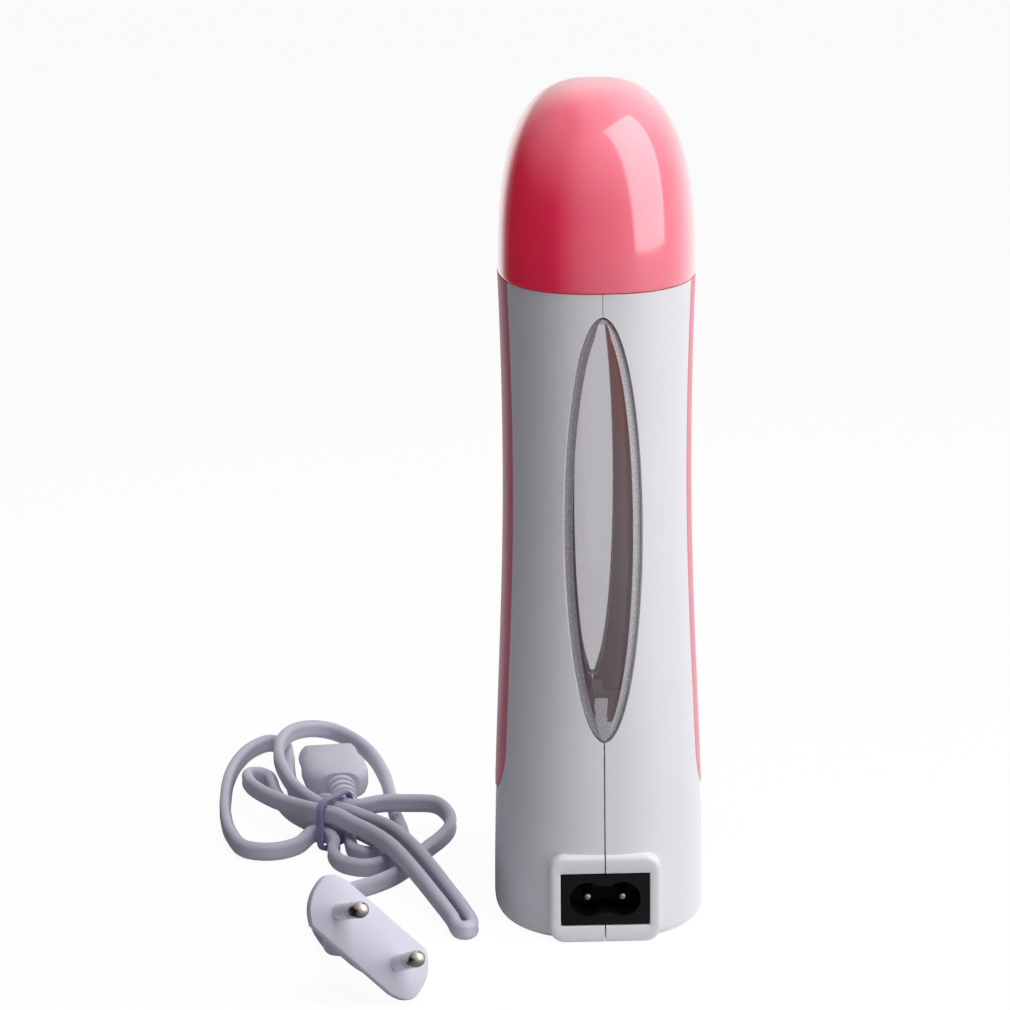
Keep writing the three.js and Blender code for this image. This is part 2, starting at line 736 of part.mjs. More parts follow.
// One straight run through the tie, in a column and a layer of the bundle
function pass(column, layer, way, turn = 0) {
  const heading = tieAlong.clone().applyAxisAngle(v3(0, 0, 1), radians(turn));
  const place = (end) => tieCentre.clone()
    .addScaledVector(heading, end * passHalfLength)
    .addScaledVector(tieAcross, column * columnStep)
    .setZ(waistBed + layer * layerStep);
  return [place(-way), place(0), place(way)];
}

// Places beside the tie, and part of an oval; heights are counted in layers of cable
const spots = (rows) => rows.map(([x, y, layer]) => v3(tieX + x, tieY + y, leadBed + layer * layerStep));
function bend({ x, y, across, along, from, to, count, layers }) {
  return Array.from({ length: count }, (_, i) => {
    const share = i / (count - 1);
    const angle = radians(mix(from, to, share));
    return v3(
      tieX + x + across * Math.cos(angle),
      tieY + y + along * Math.sin(angle),
      leadBed + layerStep * mix(layers[0], layers[1], share),
    );
  });
}

// Three petals in front of the tie and three behind it, as they lie in the photograph
const innerPetalStart = [[9.5, -3.5, 0.1], [13.5, -7.5, 0]];
const innerPetal = { x: 9.4, y: -9.5, across: 5.1, along: 6.4, from: 5, to: -165, count: 6, layers: [0, 0] };
const leafStart = [[-11, 18, 0.05], [-15.5, 33, 0.1]];
const leafTip = { x: -19.8, y: 39.5, across: 3.3, along: 5, from: 0, to: 180, count: 5, layers: [0.2, 0.6] };
const leafEnd = [[-21.4, 25, 0.95], [-15.6, 13, 1.05], [-9.6, 5.6, 1.1]];
const longPetalStart = [
  [4.7, -9.5, 1.1], [9.3, -16, 1.05], [14.3, -26, 1], [19.2, -39.5, 0.8], [24, -53, 0.45], [28.6, -66, 0.05],
];
const longPetalTip = {
  x: 31.4, y: -70.5, across: 2, along: 2.8, from: 185, to: 355, count: 5, layers: [0, 0],
};
const longPetalEnd = [
  [32, -62, 0.05], [27.9, -49.5, 0.4], [23.3, -36.5, 0.8], [18.5, -23, 1], [13.8, -12.2, 1.05],
  [8.5, -5.2, 1.05],
];
const arch = [
  [-9.6, 19, 1.1], [-13.1, 34.7, 1.05], [-14.8, 50, 1], [-14.2, 63, 1], [-11.2, 71.6, 1], [-6.3, 75.6, 0.95],
  [-0.8, 76.5, 0.75], [4.9, 72.5, 0.5], [10, 63, 0.25], [13.3, 49.2, 0], [14.6, 33.8, 0], [15.7, 16.6, 0],
];
const outerPetal = [
  [17.6, 0, 0], [17.6, -12.5, 0], [13.5, -21.5, 0], [7.5, -25.4, 0], [1.8, -22, 0], [-0.6, -14, 0],
  [-0.2, -8.4, 0.15],
];
const largePetal = [
  [-9.5, -6.8, 0], [-16.5, -11.3, 0], [-23, -9, 0], [-26.9, 2.5, 0], [-28.7, 18.9, 0], [-28.9, 31.3, 0],
  [-28.3, 48.2, 0], [-26, 63.7, 0], [-22.4, 75, 0], [-17.8, 81.4, 0], [-13.9, 77, 0], [-12.4, 66, 0],
  [-12, 52, 0], [-10.6, 36, 0], [-7, 23, 0.1], [-2.8, 13.5, 0.85],
];
const sidePetalStart = [[12, 6.5, 1.15], [18.5, 9, 1]];
const sidePetal = { x: 25, y: 1.5, across: 5, along: 7.6, from: 75, to: -60, count: 5, layers: [0.9, 0.1] };
const sidePetalEnd = [[23.2, -13, 0], [19.6, -23, 0]];
const plugRunPlaces = [[15, -32.1, 0], [10, -38, 0], [3, -44, 0], [-2.6, -51, 0], [-5, -62, 0]];
const firstPassTurn = -3;
const outerPassTurn = 20;
const hankRoute = [
  ...pass(1, 0, 1, firstPassTurn), ...spots(innerPetalStart), ...bend(innerPetal),
  ...pass(0, 0, -1), ...spots(leafStart), ...bend(leafTip), ...spots(leafEnd),
  ...pass(-1, 1, 1), ...spots(longPetalStart), ...bend(longPetalTip), ...spots(longPetalEnd),
  ...pass(0, 1, -1), ...spots(arch), ...spots(outerPetal),
  ...pass(-1, 0, -1, outerPassTurn).slice(1), ...spots(largePetal),
  ...pass(1, 1, 1), ...spots(sidePetalStart), ...bend(sidePetal), ...spots(sidePetalEnd),
];

// Sweep along a smooth path, the section kept upright, ends square to the path
const edgeShare = 0.3;
function sweep(points, stepLength) {
  const path = new THREE.CatmullRomCurve3(points, false, 'centripetal');
  path.arcLengthDivisions = 1000;
  const steps = Math.round(path.getLength() / stepLength);
  const sideReach = leadThickness / 2;
  const shoulder = leadWidth / 2 - leadThickness * edgeShare;
  const section = [
    [-sideReach, -shoulder], [0, -leadWidth / 2], [sideReach, -shoulder],
    [sideReach, shoulder], [0, leadWidth / 2], [-sideReach, shoulder],
  ];
  const rings = [];
  for (let i = 0; i <= steps; i += 1) {
    const centre = path.getPointAt(i / steps);
    const ahead = path.getTangentAt(i / steps);
    const side = v3(0, 0, 1).cross(ahead).normalize();
    const up = ahead.clone().cross(side);
    rings.push(section.map(([s, u]) => centre.clone().addScaledVector(side, s).addScaledVector(up, u)));
  }
  return { geometry: loft(rings), length: path.getLength(), path };
}

// Least gap between two stretches of one path, each taken as an upright stadium
const gapSamples = 900;
function leastGap(path) {
  const count = gapSamples;
  const points = path.getSpacedPoints(count);
  const apart = Math.ceil(3 * leadWidth / (path.getLength() / count));
  const flat = leadWidth - leadThickness;
  let least = Infinity;
  for (let i = 0; i < points.length; i += 1) {
    for (let j = i + apart; j < points.length; j += 1) {
      const across = Math.hypot(points[i].x - points[j].x, points[i].y - points[j].y);
      const rise = Math.max(0, Math.abs(points[i].z - points[j].z) - flat);
      const gap = Math.hypot(across, rise) - leadThickness;
      least = Math.min(least, gap);
    }
  }
  return least;
}
const hank = sweep(hankRoute, leadStep);
console.log(`hank: ${hank.length.toFixed(1)} mm long, least gap ${leastGap(hank.path).toFixed(2)} mm`);
add('lead_hank', hank.geometry, leadVinyl);

// Frame of a piece on the lead: where it sits and which way its own Z points
function seat(origin, forward, sideways) {
  const x = sideways.clone().addScaledVector(forward, -sideways.dot(forward)).normalize();
  const y = forward.clone().cross(x);
  return new THREE.Matrix4().makeBasis(x, y, forward).setPosition(origin);
}
function roundRing(z, radius, steps = 12) {
  return Array.from({ length: steps }, (_, i) => {
    const angle = fullTurn * i / steps;
    return v3(radius * Math.cos(angle), radius * Math.sin(angle), z);
  });
}

// Strain relief: a tapered sleeve along its own Z with grooves that let it flex
const reliefGroove = 0.5;
function relief(length) {
  const rings = [];
  const stations = 9;
  for (let i = 0; i <= stations; i += 1) {
    const share = i / stations;
    const groove = i % 2 === 0 && i > 0 && i < stations ? reliefGroove : 0;
    rings.push(roundRing(length * share, mix(reliefRadius, reliefEndRadius, share) - groove));
  }
  return loft(rings);
}

// Tie: a thin band closed round all six runs
const bundleWidth = 2 * columnStep + leadThickness;
const bundleHeight = layerStep + leadWidth;
const tieHoleWidth = bundleWidth + 2 * leadGap;
const tieHoleHeight = bundleHeight + 2 * leadGap;
const tieRound = leadThickness;
function tieBand() {
  const band = roundedOutline(tieHoleWidth + 2 * tieThickness, tieHoleHeight + 2 * tieThickness, tieRound);
  band.holes.push(roundedOutline(tieHoleWidth, tieHoleHeight, tieRound - tieThickness));
  const settings = { depth: tieWidth, bevelEnabled: false, curveSegments: 4 };
  const geometry = new THREE.ExtrudeGeometry(band, settings);
  const middle = tieCentre.clone().setZ(tieHoleHeight / 2 + tieThickness);
  const centre = middle.addScaledVector(tieAlong, -tieWidth / 2);
  return solid(geometry.applyMatrix4(seat(centre, tieAlong, tieAcross)));
}
add('lead_tie', tieBand(), tieVinyl);

// Connector: a two-lobed nose with sockets, and a grip behind it, flat on the floor
const connectorHeading = v3(Math.cos(radians(connectorBearing)), Math.sin(radians(connectorBearing)), 0);
const connectorLift = connectorGripHeight / 2 + leadLift;
const connectorRear = v3(connectorX, connectorY, connectorLift);
const connectorSeat = seat(connectorRear, connectorHeading, v3(connectorHeading.y, -connectorHeading.x, 0));
const lobeOffset = connectorWidth / 2 - connectorLobeRadius;
const noseWaistShare = 1.6;
const connectorGripShares = [[0, 0.66], [0.12, 0.86], [0.5, 1], [0.88, 1], [1, 0.94]];
function connectorBody() {
  const noseEnd = connectorGripLength + connectorNose;
  let nose = solid(new THREE.ExtrudeGeometry(
    roundedOutline(lobeOffset * 2, connectorLobeRadius * noseWaistShare, connectorLobeRadius / 4),
    { depth: noseEnd - fit, bevelEnabled: false, curveSegments: 2 },
  ).translate(0, 0, fit));
  for (const x of [-lobeOffset, lobeOffset]) {
    nose = nose.add(bar(v3(x, 0, fit), v3(x, 0, noseEnd), connectorLobeRadius, connectorLobeRadius, 16));
  }
  const gripRings = connectorGripShares.map(([alongShare, breadthShare]) => superRingAt(
    connectorGripLength * alongShare,
    (connectorWidth / 2 + reliefGroove) * breadthShare,
    connectorGripHeight / 2 * mix(1, breadthShare, half),
  ));
  let form = nose.add(solid(loft(gripRings)));
  for (const x of [-pinPitch / 2, pinPitch / 2]) {
    form = form.subtract(bar(v3(x, 0, noseEnd - contactDepth), v3(x, 0, noseEnd + overrun), contactRadius));
  }
  return fromSolid(form).applyMatrix4(connectorSeat);
}
const softSectionPower = 3;
function superRingAt(z, halfWidth, halfHeight, steps = 16) {
  const power = 2 / softSectionPower;
  return Array.from({ length: steps }, (_, i) => {
    const angle = fullTurn * i / steps;
    const across = Math.cos(angle);
    const up = Math.sin(angle);
    const x = halfWidth * Math.sign(across) * Math.abs(across) ** power;
    return v3(x, halfHeight * Math.sign(up) * Math.abs(up) ** power, z);
  });
}
add('connector_body', connectorBody(), plugVinyl);

// The connector's relief slopes down a little, so that the cable comes out on the floor
const connectorReliefDrop = connectorLift - reliefEndRadius - leadLift;
const connectorReliefTilt = reliefRadius * connectorReliefDrop / reliefLength;
const connectorReliefStart = -fit - connectorReliefTilt;
const connectorReliefRoot = connectorRear.clone().addScaledVector(connectorHeading, connectorReliefStart);
const connectorReliefAim = connectorHeading.clone().multiplyScalar(-reliefLength)
  .add(v3(0, 0, -connectorReliefDrop)).normalize();
const connectorSide = v3(connectorHeading.y, -connectorHeading.x, 0);
const connectorReliefForm = relief(reliefLength)
  .applyMatrix4(seat(connectorReliefRoot, connectorReliefAim, connectorSide));
add('connector_relief', solid(connectorReliefForm), plugVinyl);

// Plug: its pins point forwards, to the right and up, and its long side slopes down
const plugAimShares = [0.2554, -0.8956, 0.3643];
const plugSideShares = [0.732, -0.066, -0.678];
const plugAim = v3(...plugAimShares).normalize();
const plugSide = v3(...plugSideShares);
const plugSeat = seat(v3(plugX, plugY, plugZ), plugAim, plugSide);
const plugPlateBack = -plugPlateThickness;
const plugBodyBack = plugPlateBack - plugBodyLength;
const tipEdgeShare = 0.42;
const shoulderShare = 0.7;
const tipFullnessShare = 1.2;
const edgeFullnessShare = 0.9;
const plugBodyShares = [[0, 0.68, 0.94], [0.35, 0.62, 0.9], [0.7, 0.42, 0.78], [1, 0.28, 0.66]];
function plugBody() {
  const tip = plugLength / 2;
  const edge = plugBreadth / 2;
  const tipEdge = edge * tipEdgeShare;
  const shoulder = tip * shoulderShare;
  const outline = new THREE.Shape();
  outline.moveTo(tip, -tipEdge);
  outline.quadraticCurveTo(tip, tipEdge * tipFullnessShare, shoulder, edge);
  outline.lineTo(-shoulder, edge);
  outline.quadraticCurveTo(-tip, edge * edgeFullnessShare, -tip, tipEdge);
  outline.quadraticCurveTo(-tip, -tipEdge * tipFullnessShare, -shoulder, -edge);
  outline.lineTo(shoulder, -edge);
  outline.quadraticCurveTo(tip, -edge * edgeFullnessShare, tip, -tipEdge);
  const plate = solid(new THREE.ExtrudeGeometry(
    outline, { depth: plugPlateThickness, bevelEnabled: false, curveSegments: 6 },
  ).translate(0, 0, plugPlateBack));
  const rear = solid(loft(plugBodyShares.map(([depthShare, longShare, broadShare]) => superRingAt(
    mix(plugPlateBack + fit, plugBodyBack, depthShare), tip * longShare, edge * broadShare,
  ))));
  let form = plate.add(rear);
  for (const x of [-plugPinPitch / 2, plugPinPitch / 2]) {
    form = form.subtract(bar(v3(x, 0, -plugCoreDepth - fit), v3(x, 0, overrun), plugCoreRadius + fit));
    form = form.subtract(bar(v3(x, 0, -plugSleeveSeat - fit), v3(x, 0, overrun), plugPinRadius + fit));
  }
  return fromSolid(form).applyMatrix4(plugSeat);
}
add('plug_body', plugBody(), plugVinyl);

// Pins lean towards each other; each has a bare round-ended tip and a sleeved shank
const tipRoundShare = 0.55;
for (const [side, towards] of [['left', -1], ['right', 1]]) {
  const rootX = towards * plugPinPitch / 2;
  const lean = towards * (plugPinTipPitch - plugPinPitch) / 2 / plugPinLength;
  const at = (z) => v3(rootX + Math.max(0, z) * lean, 0, z);
  const tipRound = plugPinRadius * tipRoundShare;
  const pin = bar(at(-plugCoreDepth), at(plugSleeveLength + fit), plugCoreRadius, plugCoreRadius, 12)
    .add(bar(at(plugSleeveLength + fit), at(plugPinLength - tipRound), plugPinRadius))
    .add(bar(at(plugPinLength - tipRound), at(plugPinLength), plugPinRadius, plugPinRadius - tipRound));
  add(`plug_pin_${side}`, fromSolid(pin).applyMatrix4(plugSeat), nickel);
  const sleeve = bar(at(-plugSleeveSeat), at(plugSleeveLength), plugPinRadius)
    .subtract(bar(at(-plugSleeveSeat - fit), at(plugSleeveLength + fit + fit), plugCoreRadius + fit));
  add(`plug_sleeve_${side}`, fromSolid(sleeve).applyMatrix4(plugSeat), plugVinyl);
}

// Plug relief, in line with the plug and aimed down at the floor behind it
const plugReliefRoot = v3(0, 0, plugBodyBack - fit).applyMatrix4(plugSeat);
const plugReliefAim = plugAim.clone().negate();
const plugReliefForm = relief(plugReliefLength).applyMatrix4(seat(plugReliefRoot, plugReliefAim, plugSide));
add('plug_relief', solid(plugReliefForm), plugVinyl);

// Free runs from the hank's two ends into the reliefs
const hankStart = hank.path.getPointAt(0);
const hankStartAim = hank.path.getTangentAt(0);
const hankEnd = hank.path.getPointAt(1);
const hankEndAim = hank.path.getTangentAt(1);
const connectorReliefEnd = connectorReliefRoot.clone()
  .addScaledVector(connectorReliefAim, reliefLength + fit);
const connectorRun = sweep([
  hankStart.clone().addScaledVector(hankStartAim, -fit),
  hankStart.clone().addScaledVector(hankStartAim, -fit - leadWidth / 4),
  connectorReliefEnd.clone().addScaledVector(connectorReliefAim, leadWidth / 2),
  connectorReliefEnd,
], leadStep / 2);
add('lead_connector_run', connectorRun.geometry, leadVinyl);

const plugReliefEnd = plugReliefRoot.clone().addScaledVector(plugReliefAim, plugReliefLength + fit);
const plugRun = sweep([
  hankEnd.clone().addScaledVector(hankEndAim, fit),
  hankEnd.clone().addScaledVector(hankEndAim, fit + leadWidth / 2),
  ...spots(plugRunPlaces),
  plugReliefEnd.clone().addScaledVector(plugReliefAim, leadWidth / 2),
  plugReliefEnd,
], leadStep);
add('lead_plug_run', plugRun.geometry, leadVinyl);
console.log(`lead: ${(hank.length + connectorRun.length + plugRun.length).toFixed(1)} mm of cable in all`);

export default group;
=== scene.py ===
# %% [markdown]
# # A roll on wax heater, dressed in Blender
# The solids of this heater were drawn in millimetres in a CAD program and packed
# as a fixed frame. This lesson loads that frame and dresses it: finer skins where
# the CAD's facets would show in gloss, a smooth cable in place of the coarse one,
# and a material for every surface. Nothing is moved or resized. We work in
# millimetres, as the maker's drawing does, and turn them into metres at the end.

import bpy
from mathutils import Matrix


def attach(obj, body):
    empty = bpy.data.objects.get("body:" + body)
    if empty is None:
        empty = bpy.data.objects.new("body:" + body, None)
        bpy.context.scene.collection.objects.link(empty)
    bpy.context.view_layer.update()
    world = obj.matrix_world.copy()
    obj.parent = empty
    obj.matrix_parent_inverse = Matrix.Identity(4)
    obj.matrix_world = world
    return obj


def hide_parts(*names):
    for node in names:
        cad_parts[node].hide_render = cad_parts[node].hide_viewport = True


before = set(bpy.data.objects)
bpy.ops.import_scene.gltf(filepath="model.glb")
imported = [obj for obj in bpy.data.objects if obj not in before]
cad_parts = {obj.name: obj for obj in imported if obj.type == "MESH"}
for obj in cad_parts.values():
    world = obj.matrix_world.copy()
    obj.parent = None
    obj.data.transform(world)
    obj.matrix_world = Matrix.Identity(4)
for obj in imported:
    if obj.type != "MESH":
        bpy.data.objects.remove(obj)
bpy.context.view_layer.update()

import math
import bpy
import bmesh
from mathutils import Matrix, Vector

MM = 0.001
SIDES = (("left", -1), ("right", 1))
scene = bpy.context.scene
scene.view_settings.view_transform = "Standard"

# %% [markdown]
# ## Camera
# The photograph looks at the heater from a little above and a hair from the left,
# with a long lens, so its sides stay nearly parallel. The distance between the two
# inlet pins gives the scale, and the curves of the rim and the foot give the
# height of the lens. The camera is rolled by half a degree, as the photograph is.

# %% Camera
photo_side = 1010
pixels_per_mm = 4.08
camera_distance = 1200
sensor_width = 36
aim_point = Vector((-22.55, 0, 102.65))
yaw, elevation, roll = (math.radians(angle) for angle in (-2, 15, -0.5))
back = Vector((
    math.sin(yaw) * math.cos(elevation),
    -math.cos(yaw) * math.cos(elevation),
    math.sin(elevation),
))
right = Vector((0, 0, 1)).cross(back).normalized()
facing = Matrix((right, back.cross(right), back)).transposed() @ Matrix.Rotation(roll, 3, "Z")
camera = bpy.data.objects.new("camera", bpy.data.cameras.new("camera"))
scene.collection.objects.link(camera)
scene.camera = camera
camera.data.sensor_width = sensor_width
camera.data.lens = sensor_width * pixels_per_mm * camera_distance / photo_side
camera.matrix_world = Matrix.Translation((aim_point + back * camera_distance) * MM) @ facing.to_4x4()
print("lens:", round(camera.data.lens, 1), "mm")

# %% [markdown]
# ## Helpers for all nodes
# Materials and Geometry Nodes are both trees of nodes. The first helper adds one
# node, sets its options, and fills or links its inputs, so that each tree below
# reads as a list of what it is made of. The others add the kinds that come up
# most, and give back their result. Colours are written as they look on a screen,
# and the last helper turns them into the linear values that a renderer adds up.

# %% Node and colour helpers
def add_node(tree, kind, inputs=None, **options):
    made = tree.nodes.new(kind)
    for option, value in options.items():
        setattr(made, option, value)
    for key, value in (inputs or {}).items():
        if isinstance(value, bpy.types.NodeSocket):
            tree.links.new(value, made.inputs[key])
        else:
            made.inputs[key].default_value = value
    return made


def result(tree, kind, inputs=None, **options):
    return add_node(tree, kind, inputs, **options).outputs[0]


def reckon(tree, operation, *values, **options):
    """The result of one Math node."""
    return result(tree, "ShaderNodeMath", dict(enumerate(values)), operation=operation, **options)


def vector_math(tree, operation, *values, output="Vector"):
    made = add_node(tree, "ShaderNodeVectorMath", dict(enumerate(values)), operation=operation)
    return made.outputs[output]


def mapped(tree, value, start, end, low, high):
    """The value, with the range from start to end made into that from low to high."""
    limits = dict(zip(("From Min", "From Max", "To Min", "To Max"), (start, end, low, high)))
    return result(tree, "ShaderNodeMapRange", {"Value": value, **limits})


def axes(tree, vector):
    return add_node(tree, "ShaderNodeSeparateXYZ", {0: vector}).outputs


def object_place(tree):
    return add_node(tree, "ShaderNodeTexCoord").outputs["Object"]


def colour(hex_code):
    shown = [int(hex_code[i:i + 2], 16) / 255 for i in (1, 3, 5)]
    linear = [c / 12.92 if c <= 0.04045 else ((c + 0.055) / 1.055) ** 2.4 for c in shown]
    return (*linear, 1.0)


# %% [markdown]
# ## Light and floor
# The picture was lit by one tall soft box that stands close on the right, leaning
# over the table, so the left flank falls off to grey. An area lamp gives that. A
# smaller one overhead lightens what faces up, and gloss doesn't mirror it. The
# world adds a weak fill. Camera and glass rays see a white background. Gloss
# needs something to mirror: white behind the object, dark on the left, paler
# towards the right and the ceiling. None of this adds light to the object. The
# floor shows gloss the same studio, so that no horizon crosses the reflections.

# %% Shaders of light
def glow(tree, kind, tint, strength):
    return result(tree, kind, {"Color": colour(tint), "Strength": strength})


def blend(tree, share, first, second):
    """Two shaders mixed: the first where the share is 0, the second where it is 1."""
    return result(tree, "ShaderNodeMixShader", {0: share, 1: first, 2: second})


def seen_directly(tree, rays):
    return reckon(tree, "MAXIMUM", rays["Is Camera Ray"], rays["Is Transmission Ray"])


# %% What gloss mirrors
def mirrored_studio(tree, direction):
    """Brightness that gloss mirrors in a direction, much the same at every height.

    Overhead the bearing is undefined, so there the direction isn't stretched to full length.
    """
    level = vector_math(tree, "MULTIPLY", direction, (1, 1, 0))
    length = reckon(tree, "MAXIMUM", vector_math(tree, "LENGTH", level, output="Value"), 0.5)
    bearing = axes(tree, vector_math(tree, "DIVIDE", level, length))
    height = axes(tree, direction)["Z"]
    behind = mapped(tree, bearing["Y"], 0.78, 0.93, 0, 1)
    low = mapped(tree, height, 0.05, 0.3, 1, 0)
    sideways = mapped(tree, bearing["X"], -0.75, 0.75, 0.02, 1.5)
    around = reckon(tree, "MAXIMUM", reckon(tree, "MULTIPLY", behind, low), sideways)
    ceiling = mapped(tree, height, 0.1, 0.8, 0, 0.8)
    return reckon(tree, "ADD", around, ceiling)


# %% World
world = bpy.data.worlds.new("studio")
scene.world = world
world.use_nodes = True
tree = world.node_tree
tree.nodes.clear()
direction = add_node(tree, "ShaderNodeTexCoord").outputs["Generated"]
toward = axes(tree, direction)
side_fill = mapped(tree, toward["X"], -1, 1, 0.03, 0.14)
top_fill = mapped(tree, toward["Z"], 0.2, 1, 0, 0.05)
rays = add_node(tree, "ShaderNodeLightPath").outputs
fill = glow(tree, "ShaderNodeBackground", "#FDFBFF", reckon(tree, "ADD", side_fill, top_fill))
gloss = glow(tree, "ShaderNodeBackground", "#FFFFFF", mirrored_studio(tree, direction))
white = glow(tree, "ShaderNodeBackground", "#FFFFFF", 1.0)
lit = blend(tree, rays["Is Glossy Ray"], fill, gloss)
add_node(tree, "ShaderNodeOutputWorld", {"Surface": blend(tree, seen_directly(tree, rays), lit, white)})


# %% Lamps
def soft_box(name, place, aim, width, height, watts, tint):
    light = bpy.data.objects.new(name, bpy.data.lights.new(name, "AREA"))
    scene.collection.objects.link(light)
    light.data.shape = "RECTANGLE"
    light.data.size, light.data.size_y = width, height
    light.data.energy = watts
    light.data.color = colour(tint)[:3]
    light.location = place
    light.rotation_euler = (Vector(aim) - light.location).to_track_quat("-Z", "Y").to_euler()
    return light


soft_box("key_lamp", (0.385, -0.26, 0.52), (0, 0, 0.305), 0.58, 0.96, 3.55, "#FFFDFB")
overhead_lamp = soft_box("overhead_lamp", (0.02, -0.16, 1.0), (0, 0, 0.1), 0.3, 0.3, 3.3, "#FBFAFF")
overhead_lamp.visible_glossy = False

# %% Floor
floor_reach = 6
floor_glow_share, floor_glow = 0.9, 1.05
floor = bpy.data.objects.new("floor", bpy.data.meshes.new("floor"))
scene.collection.objects.link(floor)
corners = [(x * floor_reach, y * floor_reach, 0) for x, y in ((-1, -1), (1, -1), (1, 1), (-1, 1))]
floor.data.from_pydata(corners, [], [(0, 1, 2, 3)])
floor_paint = bpy.data.materials.new("white_studio_floor")
floor_paint.use_nodes = True
tree = floor_paint.node_tree
tree.nodes.clear()
rays = add_node(tree, "ShaderNodeLightPath").outputs
glow_share = reckon(tree, "MULTIPLY", seen_directly(tree, rays), floor_glow_share)
matte = result(tree, "ShaderNodeBsdfDiffuse", {"Color": colour("#DEDEE2")})
top_side = blend(tree, glow_share, matte, glow(tree, "ShaderNodeEmission", "#FFFFFF", floor_glow))
floor_bearing = vector_math(tree, "NORMALIZE", object_place(tree))
mirror_glow = glow(tree, "ShaderNodeEmission", "#FFFFFF", mirrored_studio(tree, floor_bearing))
shown_side = blend(tree, rays["Is Glossy Ray"], top_side, mirror_glow)
clear = result(tree, "ShaderNodeBsdfTransparent")
from_below = add_node(tree, "ShaderNodeNewGeometry").outputs["Backfacing"]
add_node(tree, "ShaderNodeOutputMaterial", {"Surface": blend(tree, from_below, shown_side, clear)})
floor.data.materials.append(floor_paint)

# %% [markdown]
# ## Materials
# Each finish starts from what the real piece is made of and how its surface came
# about. Moulded plastic shows the polish of its mould, with a very slight
# waviness, so a noise bends the surface a few thousandths of a millimetre and
# changes its roughness. Every pattern is sized in millimetres on the object's
# own coordinates.

# %% A plain start for every material
def start_material(name, base, roughness, metallic=0.0, ior=1.5):
    material = bpy.data.materials.new(name)
    material.use_nodes = True
    tree = material.node_tree
    tree.nodes.clear()
    surface = add_node(tree, "ShaderNodeBsdfPrincipled", {
        "Base Color": colour(base), "Roughness": roughness, "Metallic": metallic, "IOR": ior,
    })
    add_node(tree, "ShaderNodeOutputMaterial", {"Surface": surface.outputs[0]})
    return material, tree, surface, object_place(tree)


def set_surface(material, values):
    sockets = material.node_tree.nodes["Principled BSDF"].inputs
    for socket, value in values.items():
        sockets[socket].default_value = value


def noise(tree, where, size, detail):
    """A noise whose features are that many millimetres across."""
    inputs = {"Vector": where, "Scale": 1 / (size * MM), "Detail": detail}
    return add_node(tree, "ShaderNodeTexNoise", inputs).outputs["Fac"]


def tint_surface(tree, surface, share, first, second):
    tint = add_node(tree, "ShaderNodeMix", {0: share, 6: colour(first), 7: colour(second)}, data_type="RGBA")
    tree.links.new(tint.outputs[2], surface.inputs["Base Color"])


def bend_surface(tree, surface, texture, strength, depth):
    bump = result(tree, "ShaderNodeBump", {"Height": texture, "Strength": strength, "Distance": depth * MM})
    tree.links.new(bump, surface.inputs["Normal"])


def vary_roughness(tree, surface, texture, roughness, rougher):
    tree.links.new(mapped(tree, texture, 0.3, 0.7, roughness, rougher), surface.inputs["Roughness"])


def moulded(name, base, paler, roughness, rougher, grain, depth, ior=1.54):
    """Moulded plastic: its colour drifts a little, and its mould's texture shows as a fine bump."""
    material, tree, surface, where = start_material(name, base, roughness, ior=ior)
    tint_surface(tree, surface, noise(tree, where, 22, 2), base, paler)
    texture = noise(tree, where, grain, 3)
    vary_roughness(tree, surface, texture, roughness, rougher)
    bend_surface(tree, surface, texture, 0.35, depth)
    return material


# %% [markdown]
# ### Plastics
# The shell is white ABS from a spark-eroded mould, which leaves a satin skin. The
# cap is polished pink ABS, so the lamp is mirrored in it. Light soaks into the
# cap and lets its shaded side glow red, which subsurface scattering gives. A weak
# red emission adds painted glow for what shines through the dome. The grips are a
# softer satin pink, and the inlet is black glass-filled nylon, which is duller.

# %% Plastics
white_abs = moulded("satin_white_abs", "#E7E8EC", "#ECEDF1", 0.34, 0.42, 0.35, 0.004)
pink_abs = moulded("polished_pink_abs", "#FF3A6A", "#FF4270", 0.12, 0.14, 6, 0.003)
# The emission here is a painted red glow, standing for light that shines through the dome.
set_surface(pink_abs, {
    "Specular IOR Level": 0.9, "Coat Weight": 1.0, "Coat Roughness": 0.06, "Coat IOR": 1.6,
    "Subsurface Weight": 1.0, "Subsurface Radius": (1.0, 0.05, 0.06), "Subsurface Scale": 8 * MM,
    "Emission Color": colour("#FF1420"), "Emission Strength": 0.15,
})
grip_abs = moulded("satin_pink_abs", "#E8788E", "#EC8397", 0.36, 0.46, 0.3, 0.006)
black_nylon = moulded("black_filled_nylon", "#050507", "#08080A", 0.5, 0.65, 0.25, 0.008)
set_surface(black_nylon, {"Specular IOR Level": 0.12})
floor_nylon = moulded("heat_proof_white_nylon", "#FAF8FC", "#F2F0F4", 0.5, 0.6, 0.4, 0.008)

# %% [markdown]
# ### Vinyl of the lead
# The cable and the plug are soft PVC, pressed or moulded hot. The cable's skin
# shows faint lengthwise drag, too fine to see, and a slight orange peel, which is
# drawn here at half a millimetre so that it breaks the reflections. The wires
# inside wear silicone sleeves, and the elements and the cut-out ceramic cases.

